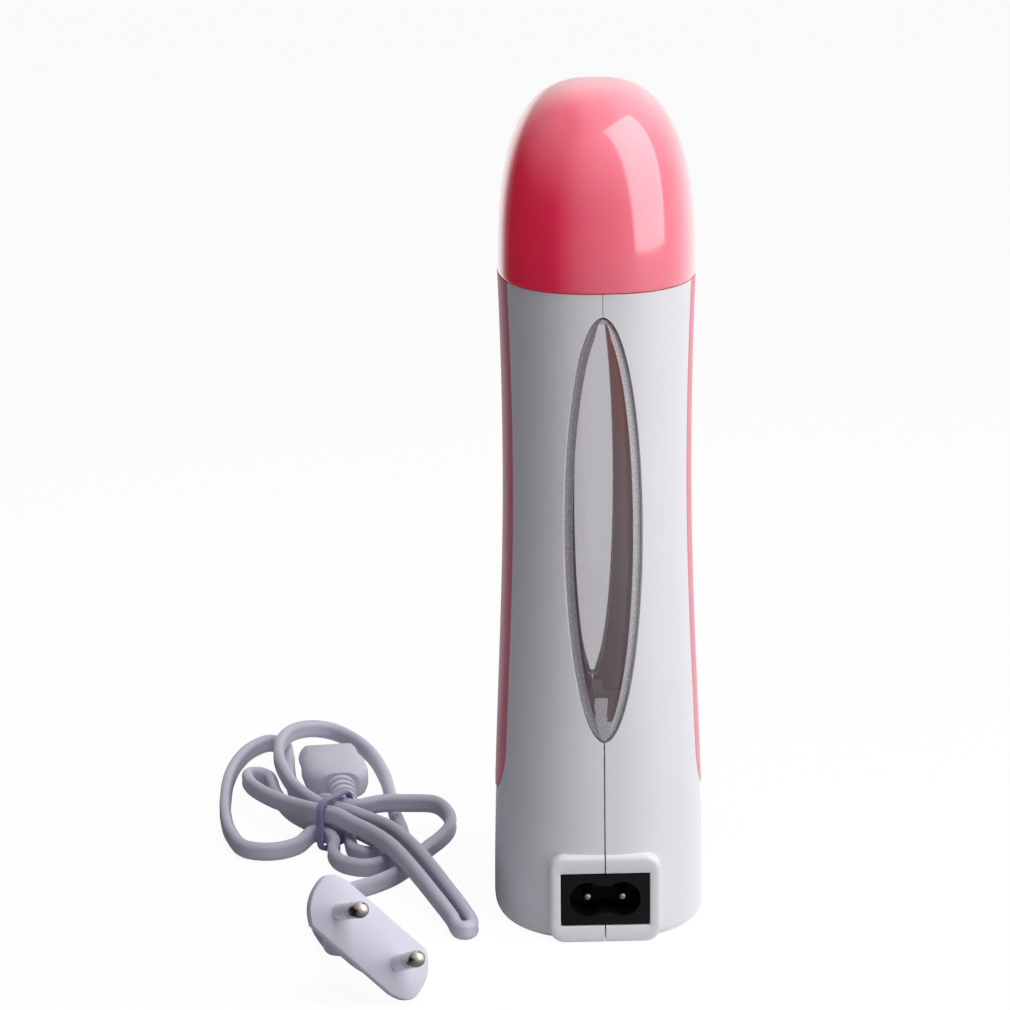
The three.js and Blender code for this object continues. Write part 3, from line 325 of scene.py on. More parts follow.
# %% Vinyl, silicone and ceramic
cable_pvc = moulded("extruded_white_pvc", "#CCCADB", "#D6D4E4", 0.36, 0.46, 0.5, 0.01, ior=1.52)
plug_pvc = moulded("moulded_white_pvc", "#D9DAE9", "#E1E2EF", 0.38, 0.5, 0.4, 0.01, ior=1.52)
tie_pvc = moulded("violet_tie_pvc", "#8E8AB6", "#9A96C2", 0.35, 0.45, 0.4, 0.006, ior=1.52)
wire_silicone = moulded("red_silicone_sleeve", "#9A2A2A", "#A63434", 0.45, 0.6, 0.4, 0.008, ior=1.41)
ceramic_case = moulded("pale_ceramic_case", "#CFC9BC", "#D8D2C6", 0.6, 0.75, 0.2, 0.01, ior=1.6)

# %% [markdown]
# ### Smoke-clear windows
# The two windows are clear polycarbonate with a grey tint. Transmission lets the
# light through, and the base colour is what one pane takes from it. A faint
# waviness of the moulding bends what is seen behind. The bevel round a pane and
# the front pane's foot are frosted, so they scatter the light and look paler.

# %% Windows' plastic
smoke_clear, tree, surface, where = start_material("smoke_polycarbonate", "#D9D7DA", 0.03, ior=1.58)
set_surface(smoke_clear, {"Transmission Weight": 1.0})
bend_surface(tree, surface, noise(tree, where, 9, 1), 0.2, 0.004)
frosted_rim = moulded("frosted_polycarbonate", "#B4B2B7", "#BCBABF", 0.22, 0.3, 0.5, 0.004, ior=1.58)
set_surface(frosted_rim, {"Transmission Weight": 0.2})


# %% [markdown]
# ### Metals
# A metal's colour is that of its reflections. Rolled sheet has fine lines along
# the rolling direction, so its noise is stretched by a Mapping node. Nickel
# plating is smooth, with slight scuffs where the plug has been pushed in. The
# inlet's pins get a darker copy of the nickel, as painted shade of their deep
# socket. The heat plates' dull anodised skin hides most of the metal. Towards the
# mouth their colour turns to a painted red, which stands for the light that the
# pink cap above casts on them.

# %% Metals
def metal(name, base, roughness, rougher, grain, stretch=(1, 1, 1)):
    material, tree, surface, where = start_material(name, base, roughness, metallic=1.0)
    lines = result(tree, "ShaderNodeMapping", {"Vector": where, "Scale": stretch})
    scuffs = noise(tree, lines, grain, 4)
    vary_roughness(tree, surface, scuffs, roughness, rougher)
    bend_surface(tree, surface, scuffs, 0.2, 0.004)
    return material


# Near the mouth the plates' colour blends to painted red: painted light from the pink cap above, not their
# own colour.
plate_grey, painted_cap_light_red, painted_red_starts, painted_red_full = "#D8BCC8", "#F0505C", 95 * MM, 135 * MM
plate_metal = metal("dull_anodised_aluminium", plate_grey, 0.5, 0.62, 1.2, (1, 1, 0.08))
set_surface(plate_metal, {"Metallic": 0.1})
tree = plate_metal.node_tree
painted_cap_light_share = mapped(tree, axes(tree, object_place(tree))["Z"], painted_red_starts, painted_red_full, 0, 1)
tint_surface(tree, tree.nodes["Principled BSDF"], painted_cap_light_share, plate_grey, painted_cap_light_red)
# A darker copy of the nickel for the inlet's pins: painted shade of their deep socket.
socket_shaded_nickel = metal("nickel_with_painted_socket_shade", "#747476", 0.22, 0.32, 1.5)
nickel = metal("plated_nickel", "#AFA8A2", 0.12, 0.2, 1.5)
spring_steel = metal("rolled_spring_steel", "#A3A5A8", 0.3, 0.42, 0.8, (1, 1, 0.1))

# %% [markdown]
# ## Mesh helpers
# A piece is a list of points in millimetres and a list of faces. Points come from
# steps, arcs and rows, and quads join the rows into a skin. Every mesh is tidied:
# doubled points are merged, faces turned outwards and sharp edges marked, so that
# smooth shading stops there. Live modifiers are turned into a plain mesh.

# %% Points and faces
def evenly(low, high, count):
    return [low + (high - low) * i / count for i in range(count + 1)]


def eased(low, high, count):
    return [low + (high - low) * (1 - math.cos(math.pi * i / count)) / 2 for i in range(count + 1)]


def arc(x, y, radius, start, end, steps):
    """Points on part of a circle, between two angles in degrees."""
    angles = map(math.radians, evenly(start, end, steps))
    return [(x + radius * math.cos(angle), y + radius * math.sin(angle)) for angle in angles]


def skin_faces(rows, columns, loop=False, ring=False):
    """Quads between rows of points.

    loop joins each row's end to its start, and ring the last row to the first.
    """
    faces = []
    for r in range(rows if ring else rows - 1):
        low, high = r * columns, (r + 1) % rows * columns
        for c in range(columns if loop else columns - 1):
            after = (c + 1) % columns
            faces.append((low + c, low + after, high + after, high + c))
    return faces


def joined(rows):
    return [point for row in rows for point in row]


# %% Mesh helpers
def make_piece(name, points, faces, sharp=32):
    mesh = bpy.data.meshes.new(name)
    mesh.from_pydata([tuple(value * MM for value in point) for point in points], [], faces)
    piece = bpy.data.objects.new(name, mesh)
    scene.collection.objects.link(piece)
    tidy(mesh, sharp)
    return piece


def tidy(mesh, sharp):
    work = bmesh.new()
    work.from_mesh(mesh)
    bmesh.ops.remove_doubles(work, verts=work.verts, dist=0.002 * MM)
    bmesh.ops.recalc_face_normals(work, faces=work.faces)
    work.to_mesh(mesh)
    work.free()
    mesh.shade_smooth()
    mesh.set_sharp_from_angle(angle=math.radians(sharp))


def plain(piece, sharp=32):
    bpy.context.view_layer.update()
    evaluated = piece.evaluated_get(bpy.context.evaluated_depsgraph_get())
    mesh = bpy.data.meshes.new_from_object(evaluated)
    piece.modifiers.clear()
    piece.data = mesh
    tidy(mesh, sharp)
    return piece


def dress(piece, material, slot, *stands_for, body="heater"):
    """The piece gets its finish, rides on its body and takes the place of CAD nodes."""
    piece.data.materials.clear()
    piece.data.materials.append(material)
    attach(piece, body)
    if stands_for:
        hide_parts(*stands_for)
    heights = [vertex.co.z / MM for vertex in piece.data.vertices]
    low, high = round(min(heights), 2), round(max(heights), 2)
    print(piece.name, len(piece.data.polygons), "faces,", low, "to", high, "mm")
    return piece


# %% [markdown]
# ## The lead
# The cable is flat and stands on its narrow edge. It goes six times through a thin
# tie: three loops lie behind the tie and three in front, and two ends run to the
# connector and the plug. One smooth curve through listed points gives the
# route, and a section with two round edges is carried along it upright. We sweep
# it ourselves, because a curve object would let the flat section roll.

# %% Route of the cable
lead_width, lead_thickness, lead_gap, lead_lift = 4.8, 3.0, 0.8, 0.25
lead_bed = lead_width / 2 + lead_lift
layer_step = lead_width + lead_gap
column_step = lead_thickness + lead_gap
tie_thickness, tie_width = 1.0, 2.0
waist_bed = tie_thickness + lead_gap + lead_width / 2
tie_centre = Vector((-65.7, 45, 0))
tie_bearing = -36
pass_half_length = 3.5


def heading(degrees):
    return Vector((math.cos(math.radians(degrees)), math.sin(math.radians(degrees)), 0))


tie_along = heading(tie_bearing)
tie_across = Vector((-tie_along.y, tie_along.x, 0))


def through_tie(column, layer, way, turn=0):
    """Three places of one run through the tie, in a column and a layer of the bundle."""
    places = []
    for end in (-way, 0, way):
        along = heading(tie_bearing + turn) * end * pass_half_length
        place = tie_centre + along + tie_across * column * column_step
        places.append(Vector((place.x, place.y, waist_bed + layer * layer_step)))
    return places


def spots(*places):
    return [tie_centre + Vector((x, y, lead_bed + layer * layer_step)) for x, y, layer in places]


def bend(x, y, across, along, start, end, count, layers):
    """Places on part of an oval beside the tie, climbing from one layer to another."""
    places = []
    for turn, layer in zip(evenly(start, end, count - 1), evenly(*layers, count - 1)):
        angle = math.radians(turn)
        places.append((x + across * math.cos(angle), y + along * math.sin(angle), layer))
    return spots(*places)


# %% Petals of the bow
inner_petal = [*spots((9.5, -3.5, 0.1), (13.5, -7.5, 0)), *bend(9.4, -9.5, 5.1, 6.4, 5, -165, 6, (0, 0))]
leaf = [
    *spots((-11, 18, 0.05), (-15.5, 33, 0.1)),
    *bend(-19.8, 39.5, 3.3, 5, 0, 180, 5, (0.2, 0.6)),
    *spots((-21.4, 25, 0.95), (-15.6, 13, 1.05), (-9.6, 5.6, 1.1)),
]
long_petal = [
    *spots((4.7, -9.5, 1.1), (9.3, -16, 1.05), (14.3, -26, 1)),
    *spots((19.2, -39.5, 0.8), (24, -53, 0.45), (28.6, -66, 0.05)),
    *bend(31.4, -70.5, 2, 2.8, 185, 355, 5, (0, 0)),
    *spots((32, -62, 0.05), (27.9, -49.5, 0.4), (23.3, -36.5, 0.8)),
    *spots((18.5, -23, 1), (13.8, -12.2, 1.05), (8.5, -5.2, 1.05)),
]
arch = spots(
    (-9.6, 19, 1.1), (-13.1, 34.7, 1.05), (-14.8, 50, 1), (-14.2, 63, 1),
    (-11.2, 71.6, 1), (-6.3, 75.6, 0.95), (-0.8, 76.5, 0.75), (4.9, 72.5, 0.5),
    (10, 63, 0.25), (13.3, 49.2, 0), (14.6, 33.8, 0), (15.7, 16.6, 0),
)
outer_petal = spots(
    (17.6, 0, 0), (17.6, -12.5, 0), (13.5, -21.5, 0), (7.5, -25.4, 0),
    (1.8, -22, 0), (-0.6, -14, 0), (-0.2, -8.4, 0.15),
)
large_petal = spots(
    (-9.5, -6.8, 0), (-16.5, -11.3, 0), (-23, -9, 0), (-26.9, 2.5, 0), (-28.7, 18.9, 0), (-28.9, 31.3, 0),
    (-28.3, 48.2, 0), (-26, 63.7, 0), (-22.4, 74.5, 0), (-17.8, 79.9, 0), (-13.9, 77, 0), (-12.4, 66, 0),
    (-12, 52, 0), (-10.6, 36, 0), (-7, 23, 0.1), (-2.8, 13.5, 0.85),
)
side_petal = [
    *spots((12, 6.5, 1.15), (18.5, 9, 1)),
    *bend(25, 1.5, 5, 7.6, 75, -60, 5, (0.9, 0.1)),
    *spots((23.2, -13, 0), (19.6, -23, 0)),
]
plug_run = spots((15, -32.1, 0), (10, -38, 0), (3, -44, 0), (-2.6, -51, 0), (-5, -62, 0))
hank_route = [
    *through_tie(1, 0, 1, -3), *inner_petal, *through_tie(0, 0, -1), *leaf,
    *through_tie(-1, 1, 1), *long_petal, *through_tie(0, 1, -1), *arch, *outer_petal,
    *through_tie(-1, 0, -1, 20)[1:], *large_petal, *through_tie(1, 1, 1), *side_petal,
]


# %% [markdown]
# ### Ends of the lead
# A small frame tells where each end piece sits: its own Z points forwards. The
# connector lies flat behind the loops. The plug leans back on its body, with its
# pins up and forwards. Each has a tapered relief where the cable comes out.

# %% Seats of the connector and the plug
def seat(origin, forward, sideways):
    forward = forward.normalized()
    across = (sideways - forward * sideways.dot(forward)).normalized()
    turn = Matrix((across, forward.cross(across), forward)).transposed().to_4x4()
    return Matrix.Translation(origin) @ turn


fit = 0.3
relief_radius, relief_end_radius = 4.0, 3.1
connector_relief_length, plug_relief_length = 13, 16
connector_grip_length, connector_grip_height = 17, 9.4
connector_heading = heading(97)
connector_lift = connector_grip_height / 2 + lead_lift
connector_rear = Vector((-64.2, 79, connector_lift))
connector_side = Vector((connector_heading.y, -connector_heading.x, 0))
connector_seat = seat(connector_rear, connector_heading, connector_side)
relief_drop = connector_lift - relief_end_radius - lead_lift
relief_tilt = relief_radius * relief_drop / connector_relief_length
connector_relief_root = connector_rear - connector_heading * (fit + relief_tilt)
connector_relief_run = -connector_heading * connector_relief_length - Vector((0, 0, relief_drop))
connector_relief_aim = connector_relief_run.normalized()
connector_relief_end = connector_relief_root + connector_relief_aim * (connector_relief_length + fit)

plug_plate_thickness, plug_body_length = 4, 13
plug_aim = Vector((0.2554, -0.8956, 0.3643)).normalized()
plug_side = Vector((0.732, -0.066, -0.678))
plug_seat = seat(Vector((-57.8, -69, 16.2)), plug_aim, plug_side)
plug_relief_root = plug_seat @ Vector((0, 0, -plug_plate_thickness - plug_body_length - fit))
plug_relief_end = plug_relief_root - plug_aim * (plug_relief_length + fit)


# %% [markdown]
# ### Smooth path
# A Catmull-Rom spline goes through every point. The centripetal kind spaces its
# knots by the square root of the distances, which keeps it from looping where
# points lie close together. It is then cut into equal steps.

# %% Smooth path
def smooth_path(points, step, cuts=24):
    ends = [points[0] * 2 - points[1], *points, points[-1] * 2 - points[-2]]
    fine = []
    for a, b, c, d in zip(ends, ends[1:], ends[2:], ends[3:]):
        gaps = [max(1e-3, (q - p).length) ** 0.5 for p, q in ((a, b), (b, c), (c, d))]
        leave = ((b - a) / gaps[0] - (c - a) / (gaps[0] + gaps[1]) + (c - b) / gaps[1]) * gaps[1]
        arrive = ((c - b) / gaps[1] - (d - b) / (gaps[1] + gaps[2]) + (d - c) / gaps[2]) * gaps[1]
        for i in range(cuts):
            t = i / cuts
            cubic = b * 2 - c * 2 + leave + arrive
            square = c * 3 - b * 3 - leave * 2 - arrive
            fine.append(b + leave * t + square * t * t + cubic * t ** 3)
    fine.append(points[-1].copy())
    run = [0.0]
    for p, q in zip(fine, fine[1:]):
        run.append(run[-1] + (q - p).length)
    count = round(run[-1] / step)
    path, at = [], 0
    for i in range(count + 1):
        goal = run[-1] * i / count
        while at < len(run) - 2 and run[at + 1] < goal:
            at += 1
        share = (goal - run[at]) / max(1e-9, run[at + 1] - run[at])
        path.append(fine[at].lerp(fine[at + 1], share))
    return path, run[-1]


cable_points = [
    connector_relief_end,
    connector_relief_end + connector_relief_aim * lead_width / 2,
    *hank_route,
    *plug_run,
    plug_relief_end - plug_aim * lead_width / 2,
    plug_relief_end,
]
cable_path, cable_length = smooth_path(cable_points, 1.2)
print("cable:", round(cable_length), "mm in", len(cable_path), "steps")


# %% [markdown]
# ### Cable
# The section is a flat oval with a shallow groove between its two cores, as on
# real figure-eight flex. It is a hair thinner than the solid, which keeps it
# inside the solid's box, and stays upright on every step of the path.

# %% Cable
cable_trim, cable_groove = 0.01, 0.12


def cable_section(steps=8):
    edge = lead_thickness / 2 - cable_trim
    straight = lead_width / 2 - edge
    points = []
    for start, towards in ((0, 1), (180, -1)):
        points += arc(0, towards * straight, edge, start, start + 180, steps)
        points.append((towards * (cable_groove - edge), 0))
    return points


def sweep(path, section):
    points = []
    for i, place in enumerate(path):
        ahead = (path[min(i + 1, len(path) - 1)] - path[max(i - 1, 0)]).normalized()
        side = Vector((0, 0, 1)).cross(ahead).normalized()
        up = ahead.cross(side)
        points += [place + side * s + up * u for s, u in section]
    faces = skin_faces(len(path), len(section), loop=True)
    last = len(points) - len(section)
    faces.append(tuple(range(len(section))))
    faces.append(tuple(range(last, len(points))))
    return points, faces


cable = make_piece("mains_cable", *sweep(cable_path, cable_section()), sharp=60)
dress(cable, cable_pvc, "lead_vinyl", "lead_hank", "lead_connector_run", "lead_plug_run")

# %% [markdown]
# ### Tie
# A thin band closes round all six runs. It is a rounded rectangle swept by a
# small flat section with its corners cut, which takes eight rows of points.

# %% Tie
bundle_width = 2 * column_step + lead_thickness + 2 * lead_gap
bundle_height = layer_step + lead_width + 2 * lead_gap
tie_round, tie_soft = 2, 0.3


def rounded_loop(width, height, radius, steps=8):
    x, y = width / 2 - radius, height / 2 - radius
    loop = []
    for sx, sy, turn in ((1, 1, 0), (-1, 1, 90), (-1, -1, 180), (1, -1, 270)):
        loop += arc(sx * x, sy * y, radius, turn, turn + 90, steps)
    return loop


def tie_points():
    section = (
        (0, tie_soft), (0, tie_width - tie_soft), (tie_soft, tie_width),
        (tie_thickness - tie_soft, tie_width), (tie_thickness, tie_width - tie_soft),
        (tie_thickness, tie_soft), (tie_thickness - tie_soft, 0), (tie_soft, 0),
    )
    rows = []
    for outwards, along in section:
        loop = rounded_loop(bundle_width + 2 * outwards, bundle_height + 2 * outwards, tie_round + outwards)
        rows.append([Vector((x, y, along - tie_width / 2)) for x, y in loop])
    middle = tie_centre + Vector((0, 0, bundle_height / 2 + tie_thickness))
    place = seat(middle, tie_along, tie_across)
    return [place @ p for p in joined(rows)], skin_faces(len(rows), len(rows[0]), loop=True, ring=True)


tie = dress(make_piece("hank_tie", *tie_points()), tie_pvc, "tie_vinyl", "lead_tie")

# %% [markdown]
# ### Reliefs by Geometry Nodes
# A strain relief is a soft cone with ribs that let it flex. The ribs repeat along
# a line, which is work for Geometry Nodes: a cone, a line of points, one ring
# copied to each point, and each copy scaled by how far along it is. Two helpers
# start and end such a tree, and a third grows a piece from it.

# %% Helpers for geometry trees
def named_tree(name, numbers, others):
    """A tree whose inputs are some plain numbers, and others with their own type."""
    tree = bpy.data.node_groups.new(name, "GeometryNodeTree")
    for label, kind in {**dict.fromkeys(numbers, "Float"), **others}.items():
        tree.interface.new_socket(label, in_out="INPUT", socket_type=f"NodeSocket{kind}")
    tree.interface.new_socket("Geometry", in_out="OUTPUT", socket_type="NodeSocketGeometry")
    return tree, tree.nodes.new("NodeGroupInput").outputs


def close_tree(tree, geometry, finish):
    real = result(tree, "GeometryNodeRealizeInstances", {0: geometry})
    painted = result(tree, "GeometryNodeSetMaterial", {"Geometry": real, "Material": finish})
    add_node(tree, "NodeGroupOutput", {0: painted})


def grow(name, tree, sizes):
    piece = bpy.data.objects.new(name, bpy.data.meshes.new(name))
    scene.collection.objects.link(piece)
    modifier = piece.modifiers.new(name, "NODES")
    modifier.node_group = tree
    for item in tree.interface.items_tree:
        if item.item_type == "SOCKET" and item.in_out == "INPUT":
            modifier[item.identifier] = sizes[item.name]
    return piece


# %% Tree of the ribbed relief
rib_share, rib_depth, rib_thickness, rib_soft = 0.62, 0.36, 0.2, 0.09
relief_tree, given = named_tree(
    "ribbed_relief", ("Length", "Root Radius", "Tip Radius", "Groove"), {"Ribs": "Int", "Finish": "Material"},
)
tree = relief_tree
core = result(tree, "GeometryNodeMeshCone", {
    "Vertices": 40, "Depth": given["Length"],
    "Radius Top": reckon(tree, "SUBTRACT", given["Tip Radius"], given["Groove"]),
    "Radius Bottom": reckon(tree, "SUBTRACT", given["Root Radius"], given["Groove"]),
})
rib_step = reckon(tree, "DIVIDE", given["Length"], given["Ribs"])
line = result(tree, "GeometryNodeMeshLine", {
    "Count": given["Ribs"],
    "Start Location": result(tree, "ShaderNodeCombineXYZ", {2: reckon(tree, "MULTIPLY", rib_step, 0.5)}),
    "Offset": result(tree, "ShaderNodeCombineXYZ", {2: rib_step}),
})
unit_circle = result(tree, "GeometryNodeCurvePrimitiveCircle", {"Resolution": 40, "Radius": 1 * MM})
flat = result(tree, "GeometryNodeCurvePrimitiveQuadrilateral", {
    "Width": rib_thickness * MM, "Height": reckon(tree, "MULTIPLY", rib_step, rib_share),
})
soft = result(tree, "GeometryNodeFilletCurve", {
    "Curve": flat, "Radius": rib_soft * MM, "Count": 3,
}, mode="POLY")
ring = result(tree, "GeometryNodeCurveToMesh", {"Curve": unit_circle, "Profile Curve": soft})
middle = reckon(tree, "ADD", result(tree, "GeometryNodeInputIndex"), 0.5)
share = reckon(tree, "DIVIDE", middle, given["Ribs"])
taper = mapped(tree, share, 0, 1, given["Root Radius"], given["Tip Radius"])
ring_radius = reckon(tree, "SUBTRACT", reckon(tree, "MULTIPLY", taper, 1 / MM), rib_depth)
ring_size = result(tree, "ShaderNodeCombineXYZ", {0: ring_radius, 1: ring_radius, 2: 1.0})
copies = result(tree, "GeometryNodeInstanceOnPoints", {"Points": line, "Instance": ring, "Scale": ring_size})
together = add_node(tree, "GeometryNodeJoinGeometry", {0: core})
tree.links.new(copies, together.inputs[0])
close_tree(tree, together.outputs[0], given["Finish"])


# %% Both reliefs
rib_groove = 0.6


def relief(name, length, ribs, place, node):
    piece = grow(name, relief_tree, {
        "Length": length * MM, "Root Radius": relief_radius * MM, "Tip Radius": relief_end_radius * MM,
        "Ribs": ribs, "Groove": rib_groove * MM, "Finish": plug_pvc,
    })
    plain(piece)
    place = place.copy()
    place.translation *= MM
    piece.data.transform(place)
    return dress(piece, plug_pvc, "plug_vinyl", node)


connector_relief_seat = seat(connector_relief_root, connector_relief_aim, connector_side)
plug_relief_seat = seat(plug_relief_root, -plug_aim, plug_side)
relief_pieces = [
    relief("connector_strain_relief", connector_relief_length, 5, connector_relief_seat, "connector_relief"),
    relief("plug_strain_relief", plug_relief_length, 6, plug_relief_seat, "plug_relief"),
]


# %% [markdown]
# ### Moulded end pieces
# Both ends are soft lofts: sections of a squared oval, set one behind another.
# Closely spaced sections near the ends give rounded shoulders.

# %% Loft helpers
def squarer(value, power):
    """A sine or cosine pushed outwards, which turns a circle into a squared oval."""
    return math.copysign(abs(value) ** (2 / power), value)


def squared_oval(half_width, half_height, z, power=3.0, steps=48):
    circle = arc(0, 0, 1, 0, 360, steps)[:-1]
    return [Vector((half_width * squarer(x, power), half_height * squarer(y, power), z)) for x, y in circle]


def loft(rings):
    points = joined(rings)
    count = len(rings[0])
    faces = skin_faces(len(rings), count, loop=True)
    faces.append(tuple(range(count)))
    faces.append(tuple(range(len(points) - count, len(points))))
    return points, faces


def two_lofts(name, place, first_rings, second_rings):
    """One piece of two closed lofts that run into each other."""
    first_points, first_faces = loft(first_rings)
    second_points, second_faces = loft(second_rings)
    shift = len(first_points)
    faces = first_faces + [tuple(i + shift for i in face) for face in second_faces]
    return make_piece(name, [place @ p for p in first_points + second_points], faces)


# %% Connector
connector_width, connector_nose, lobe_radius, pin_pitch = 16.2, 9, 4.1, 8.6
grip_shares = (
    (0, 0.60, 0.8), (0.03, 0.68, 0.85), (0.12, 0.86, 0.93), (0.3, 0.95, 0.98), (0.5, 1, 1),
    (0.88, 1, 1), (0.96, 0.985, 0.985), (1, 0.93, 0.93),
)
grip_half_width = connector_width / 2 + 0.5
grip_rings = [
    squared_oval(grip_half_width * broad, connector_grip_height / 2 * high, connector_grip_length * share)
    for share, broad, high in grip_shares
]


def lobed_ring(z, widened, steps=20):
    """The nose's outline: two round lobes with a flat waist between them."""
    offset = connector_width / 2 - lobe_radius
    lobes = [
        arc(centre, 0, lobe_radius + widened, start, start + 124, steps)
        for centre, start in ((offset, -62), (-offset, 118))
    ]
    return [Vector((x, y, z)) for x, y in joined(lobes)]


nose_end = connector_grip_length + connector_nose
nose_rings = [lobed_ring(z, widened) for z, widened in (
    (connector_grip_length - 2, 0), (nose_end - 0.4, 0), (nose_end - 0.1, -0.12), (nose_end, -0.4),
)]
connector = two_lofts("lead_connector", connector_seat, grip_rings, nose_rings)
dress(connector, plug_pvc, "plug_vinyl", "connector_body")


# %% [markdown]
# ### Contacts' holes
# The connector takes two pins. Each hole is a dark sleeve set a hair proud of the
# nose's face, so that it reads as a hole from any side.

# %% Turned pieces
def turned(profile, steps=40):
    """Points and faces of a profile turned round Z, from (radius, height) pairs."""
    circles = [(height, arc(0, 0, radius, 0, 360, steps)[:-1]) for radius, height in profile]
    return loft([[Vector((x, y, height)) for x, y in circle] for height, circle in circles])


contact_radius, contact_wall, contact_proud = 1.5, 0.25, 0.04
contact_profile = (
    (contact_radius + contact_wall, nose_end - 1), (contact_radius + contact_wall, nose_end + contact_proud),
    (contact_radius, nose_end + contact_proud), (contact_radius - 0.1, nose_end - 0.6),
    (contact_radius - 0.1, nose_end - 0.9),
)
for side, towards in SIDES:
    points, faces = turned(contact_profile)
    place = connector_seat @ Matrix.Translation((towards * pin_pitch / 2, 0, 0))
    contact = make_piece(f"connector_contact_{side}", [place @ p for p in points], faces)
    dress(contact, black_nylon, "inlet_black")

# %% [markdown]
# ### Plug
# The flat plug's front plate is a long six-sided shape with soft corners, and a
# tapered body behind it carries the cable. Rows close to the plate's edge round
# it, as a mould's parting edge would be.

# %% Plug body
plug_length, plug_breadth = 35.3, 13.7
plate_edges = (
    (0.5, 0), (0.15, -0.15), (0, -0.5), (0, 0.7 - plug_plate_thickness), (0.3, -plug_plate_thickness),
)
body_shares = (
    (0, 0.68, 0.94), (0.2, 0.66, 0.93), (0.35, 0.62, 0.9), (0.55, 0.53, 0.85), (0.7, 0.42, 0.78),
    (0.85, 0.33, 0.71), (1, 0.28, 0.66),
)


def plate_outline(steps=10):
    tip, edge = plug_length / 2, plug_breadth / 2
    tip_edge, shoulder = edge * 0.42, tip * 0.7
    curves = (
        ((tip, -tip_edge), (tip, tip_edge * 1.2), (shoulder, edge)),
        ((-shoulder, edge), (-tip, edge * 0.9), (-tip, tip_edge)),
        ((-tip, tip_edge), (-tip, -tip_edge * 1.2), (-shoulder, -edge)),
        ((shoulder, -edge), (tip, -edge * 0.9), (tip, -tip_edge)),
    )
    outline = []
    for a, b, c in curves:
        for t in evenly(0, 1, steps):
            shares = ((1 - t) ** 2, 2 * t * (1 - t), t * t)
            outline.append(tuple(sum(share * p[k] for share, p in zip(shares, (a, b, c))) for k in range(2)))
    return outline


plate_rows = []
for inset, z in plate_edges:
    shrink_x, shrink_y = 1 - inset / (plug_length / 2), 1 - inset / (plug_breadth / 2)
    plate_rows.append([Vector((x * shrink_x, y * shrink_y, z)) for x, y in plate_outline()])
body_rings = [
    squared_oval(
        plug_length / 2 * long, plug_breadth / 2 * broad,
        -plug_plate_thickness + fit - (plug_body_length + fit) * share,
    )
    for share, long, broad in body_shares
]
plug = two_lofts("mains_plug", plug_seat, plate_rows, body_rings)
dress(plug, plug_pvc, "plug_vinyl", "plug_body")

# %% [markdown]
# ### Pins
# Each pin is a nickel rod with a round tip. Half of its length wears a white
# sleeve, so that no live metal shows while the plug is half out. The two lean
# slightly towards each other, which makes them grip the socket.

# %% Plug pins
plug_pin_length, plug_pin_radius, plug_sleeve_length = 19, 2.0, 10
plug_pin_pitch, plug_tip_pitch = 18.6, 17.5


def domed(radius, length, angles):
    """Profile of a rod's round end, from its side to just short of its middle."""
    turns = map(math.radians, angles)
    return [(radius * math.cos(turn), length - radius * (1 - math.sin(turn))) for turn in turns]


pin_profile = [
    (1.4, -6), (1.4, plug_sleeve_length - 0.2), (plug_pin_radius, plug_sleeve_length + 0.1),
    *domed(plug_pin_radius, plug_pin_length, (0, 15, 30, 45, 60, 75, 87)),
]
sleeve_profile = [
    (1.75, 0.15), (plug_pin_radius, 0.15), (plug_pin_radius, plug_sleeve_length - 0.15),
    (plug_pin_radius - 0.15, plug_sleeve_length), (1.45, plug_sleeve_length),
]
for side, towards in SIDES:
    lean = math.atan2((plug_tip_pitch - plug_pin_pitch) / 2 * towards, plug_pin_length)
    root = Matrix.Translation((towards * plug_pin_pitch / 2, 0, 0))
    place = plug_seat @ root @ Matrix.Rotation(lean, 4, "Y")
    for name, profile, material, slot, node in (
        (f"plug_rod_{side}", pin_profile, nickel, "nickel", f"plug_pin_{side}"),
        (f"plug_collar_{side}", sleeve_profile, plug_pvc, "plug_vinyl", f"plug_sleeve_{side}"),
    ):
        points, faces = turned(profile)
        rod = make_piece(name, [place @ p for p in points], faces)
        dress(rod, material, slot, node)

# %% [markdown]
# ## Body
# The body's section is a squared oval that draws in to a waist. Its half width
# and half depth depend only on the height, so one function gives the whole skin.
# A shell half is then a skin of rows: each row starts at the seam or at the edge
# of the window, goes round to the grip, skips it, and goes on to the back.

# %% The body's form
body_height, waist_height = 161.5, 114
front_setback, section_power = 0.8, 2.4
wall, seam_gap, foot_round = 2.6, 0.3, 2.5


def drawn_in(z, base, waist, rim):
    if z < waist_height:
        swell = (1 - math.cos(math.pi * (1 - z / waist_height))) / 2
        return waist + (base - waist) * swell
    rise = (z - waist_height) / (body_height - waist_height)
    return waist + (rim - waist) * rise * rise


def half_width(z):
    return drawn_in(z, 25.8, 22.75, 23.7)


def half_depth(z, towards):
    return drawn_in(z, 32, 28.6, 30.2) - (front_setback if towards < 0 else 0)


def beside(reach):
    """What is left of one side of the squared oval when the other has this share of its half length."""
    return (1 - min(1, reach) ** section_power) ** (1 / section_power)


def skin_y(x, z, inset, towards):
    return towards * (half_depth(z, towards) - inset) * beside(abs(x) / (half_width(z) - inset))


def skin_x(y, z, inset):
    return (half_width(z) - inset) * beside(abs(y) / (half_depth(z, y) - inset))


# %% [markdown]
# ### Windows' outline
# Each window is a tall oval. Its half breadth at a height is that of an ellipse,
# and a margin grows or shrinks the oval by the same length all round.

# %% Ovals and grips
window_bottom, window_top = 50.4, 155.9
window_middle = (window_bottom + window_top) / 2
window_half_height = (window_top - window_bottom) / 2
front_breadth, rear_breadth = 9.6, 7.6
grip_bottom, grip_half_breadth, grip_thickness, grip_crown = 31, 13, 1.2, 0.25
grip_centre = grip_bottom + grip_half_breadth


